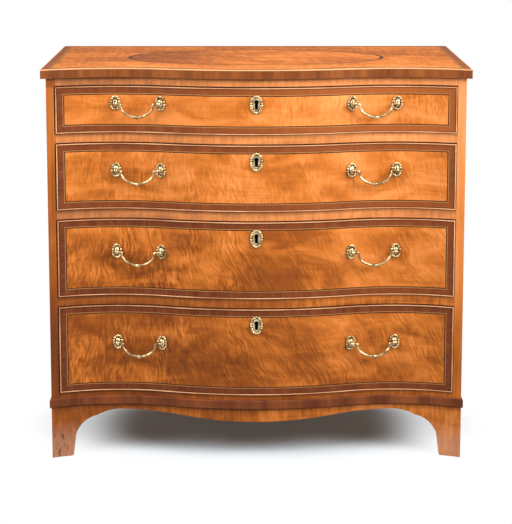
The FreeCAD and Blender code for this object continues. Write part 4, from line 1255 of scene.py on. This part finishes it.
# %% Floor and backdrop
FLOOR_RADIUS = 30.0
BACKDROP_AWAY = 11.0
BACKDROP_HEIGHT = 2.0
BACKDROP_WIDTH = 28.0
bpy.ops.object.select_all(action="DESELECT")
bpy.ops.mesh.primitive_circle_add(vertices=96, radius=FLOOR_RADIUS, fill_type="NGON")
floor = bpy.context.active_object
floor.name = "floor"
floor.data.materials.append(floor_white)
bpy.ops.mesh.primitive_plane_add(
    size=BACKDROP_HEIGHT, location=(0, BACKDROP_AWAY, BACKDROP_HEIGHT / 2), rotation=(math.radians(90), 0, 0)
)
bpy.ops.transform.resize(value=(BACKDROP_WIDTH / BACKDROP_HEIGHT, 1.0, 1.0))
bpy.ops.object.transform_apply(location=False, rotation=True, scale=True)
backdrop = bpy.context.active_object
backdrop.name = "backdrop"
backdrop.data.materials.append(backdrop_white)
print("floor and backdrop")

# %% [markdown]
# ## Lights
# The photograph has soft, even light from both sides, a little stronger from the right, so the left
# of the chest is slightly darker and the shadow lies underneath. Small lamps would give hard shadows
# and glaring spots in the varnish, so large panels stand far out to the sides, with one above and
# a weak one behind. A dim world fills what is left, but metal and varnish see it in full white, as
# they would the walls of a studio.

# %% Lights
def soft_light(name, power, size, place, target, beam):
    """A large soft panel that looks at its target."""
    data = bpy.data.lights.new(name, "AREA")
    data.energy = power
    data.shape = "RECTANGLE"
    data.size, data.size_y = size
    data.spread = math.radians(beam)
    light = bpy.data.objects.new(name, data)
    bpy.context.scene.collection.objects.link(light)
    light.location = place
    light.rotation_euler = (Vector(target) - Vector(place)).to_track_quat("-Z", "Y").to_euler()
    return light


panels = [
    soft_light("key_light", 20, (1.3, 1.5), (1.75, -1.30, 1.75), (0.0, -0.25, 0.95), 75),
    soft_light("left_light", 13.5, (1.3, 1.5), (-1.75, -1.30, 1.75), (0.1, -0.25, 0.95), 75),
    soft_light("top_light", 8, (1.8, 1.2), (0.1, -0.35, 2.6), (0, -0.1, 0.8), 150),
    soft_light("back_light", 6, (2.2, 1.2), (0.0, 2.1, 2.1), (0, 0.3, 0.5), 100),
]
WORLD_FILL = 0.18
world = bpy.data.worlds.new("studio")
bpy.context.scene.world = world
world.use_nodes = True
sky = world.node_tree.nodes["Background"]
sky.inputs["Color"].default_value = (1, 1, 1, 1)
fill = spread(world.node_tree, seen_directly(world.node_tree), 0.0, 1.0, WORLD_FILL, 1.0)
join(world.node_tree, fill, sky.inputs["Strength"])
bpy.context.scene.view_settings.view_transform = "Standard"
print(len(panels), "soft lights and a dim world")
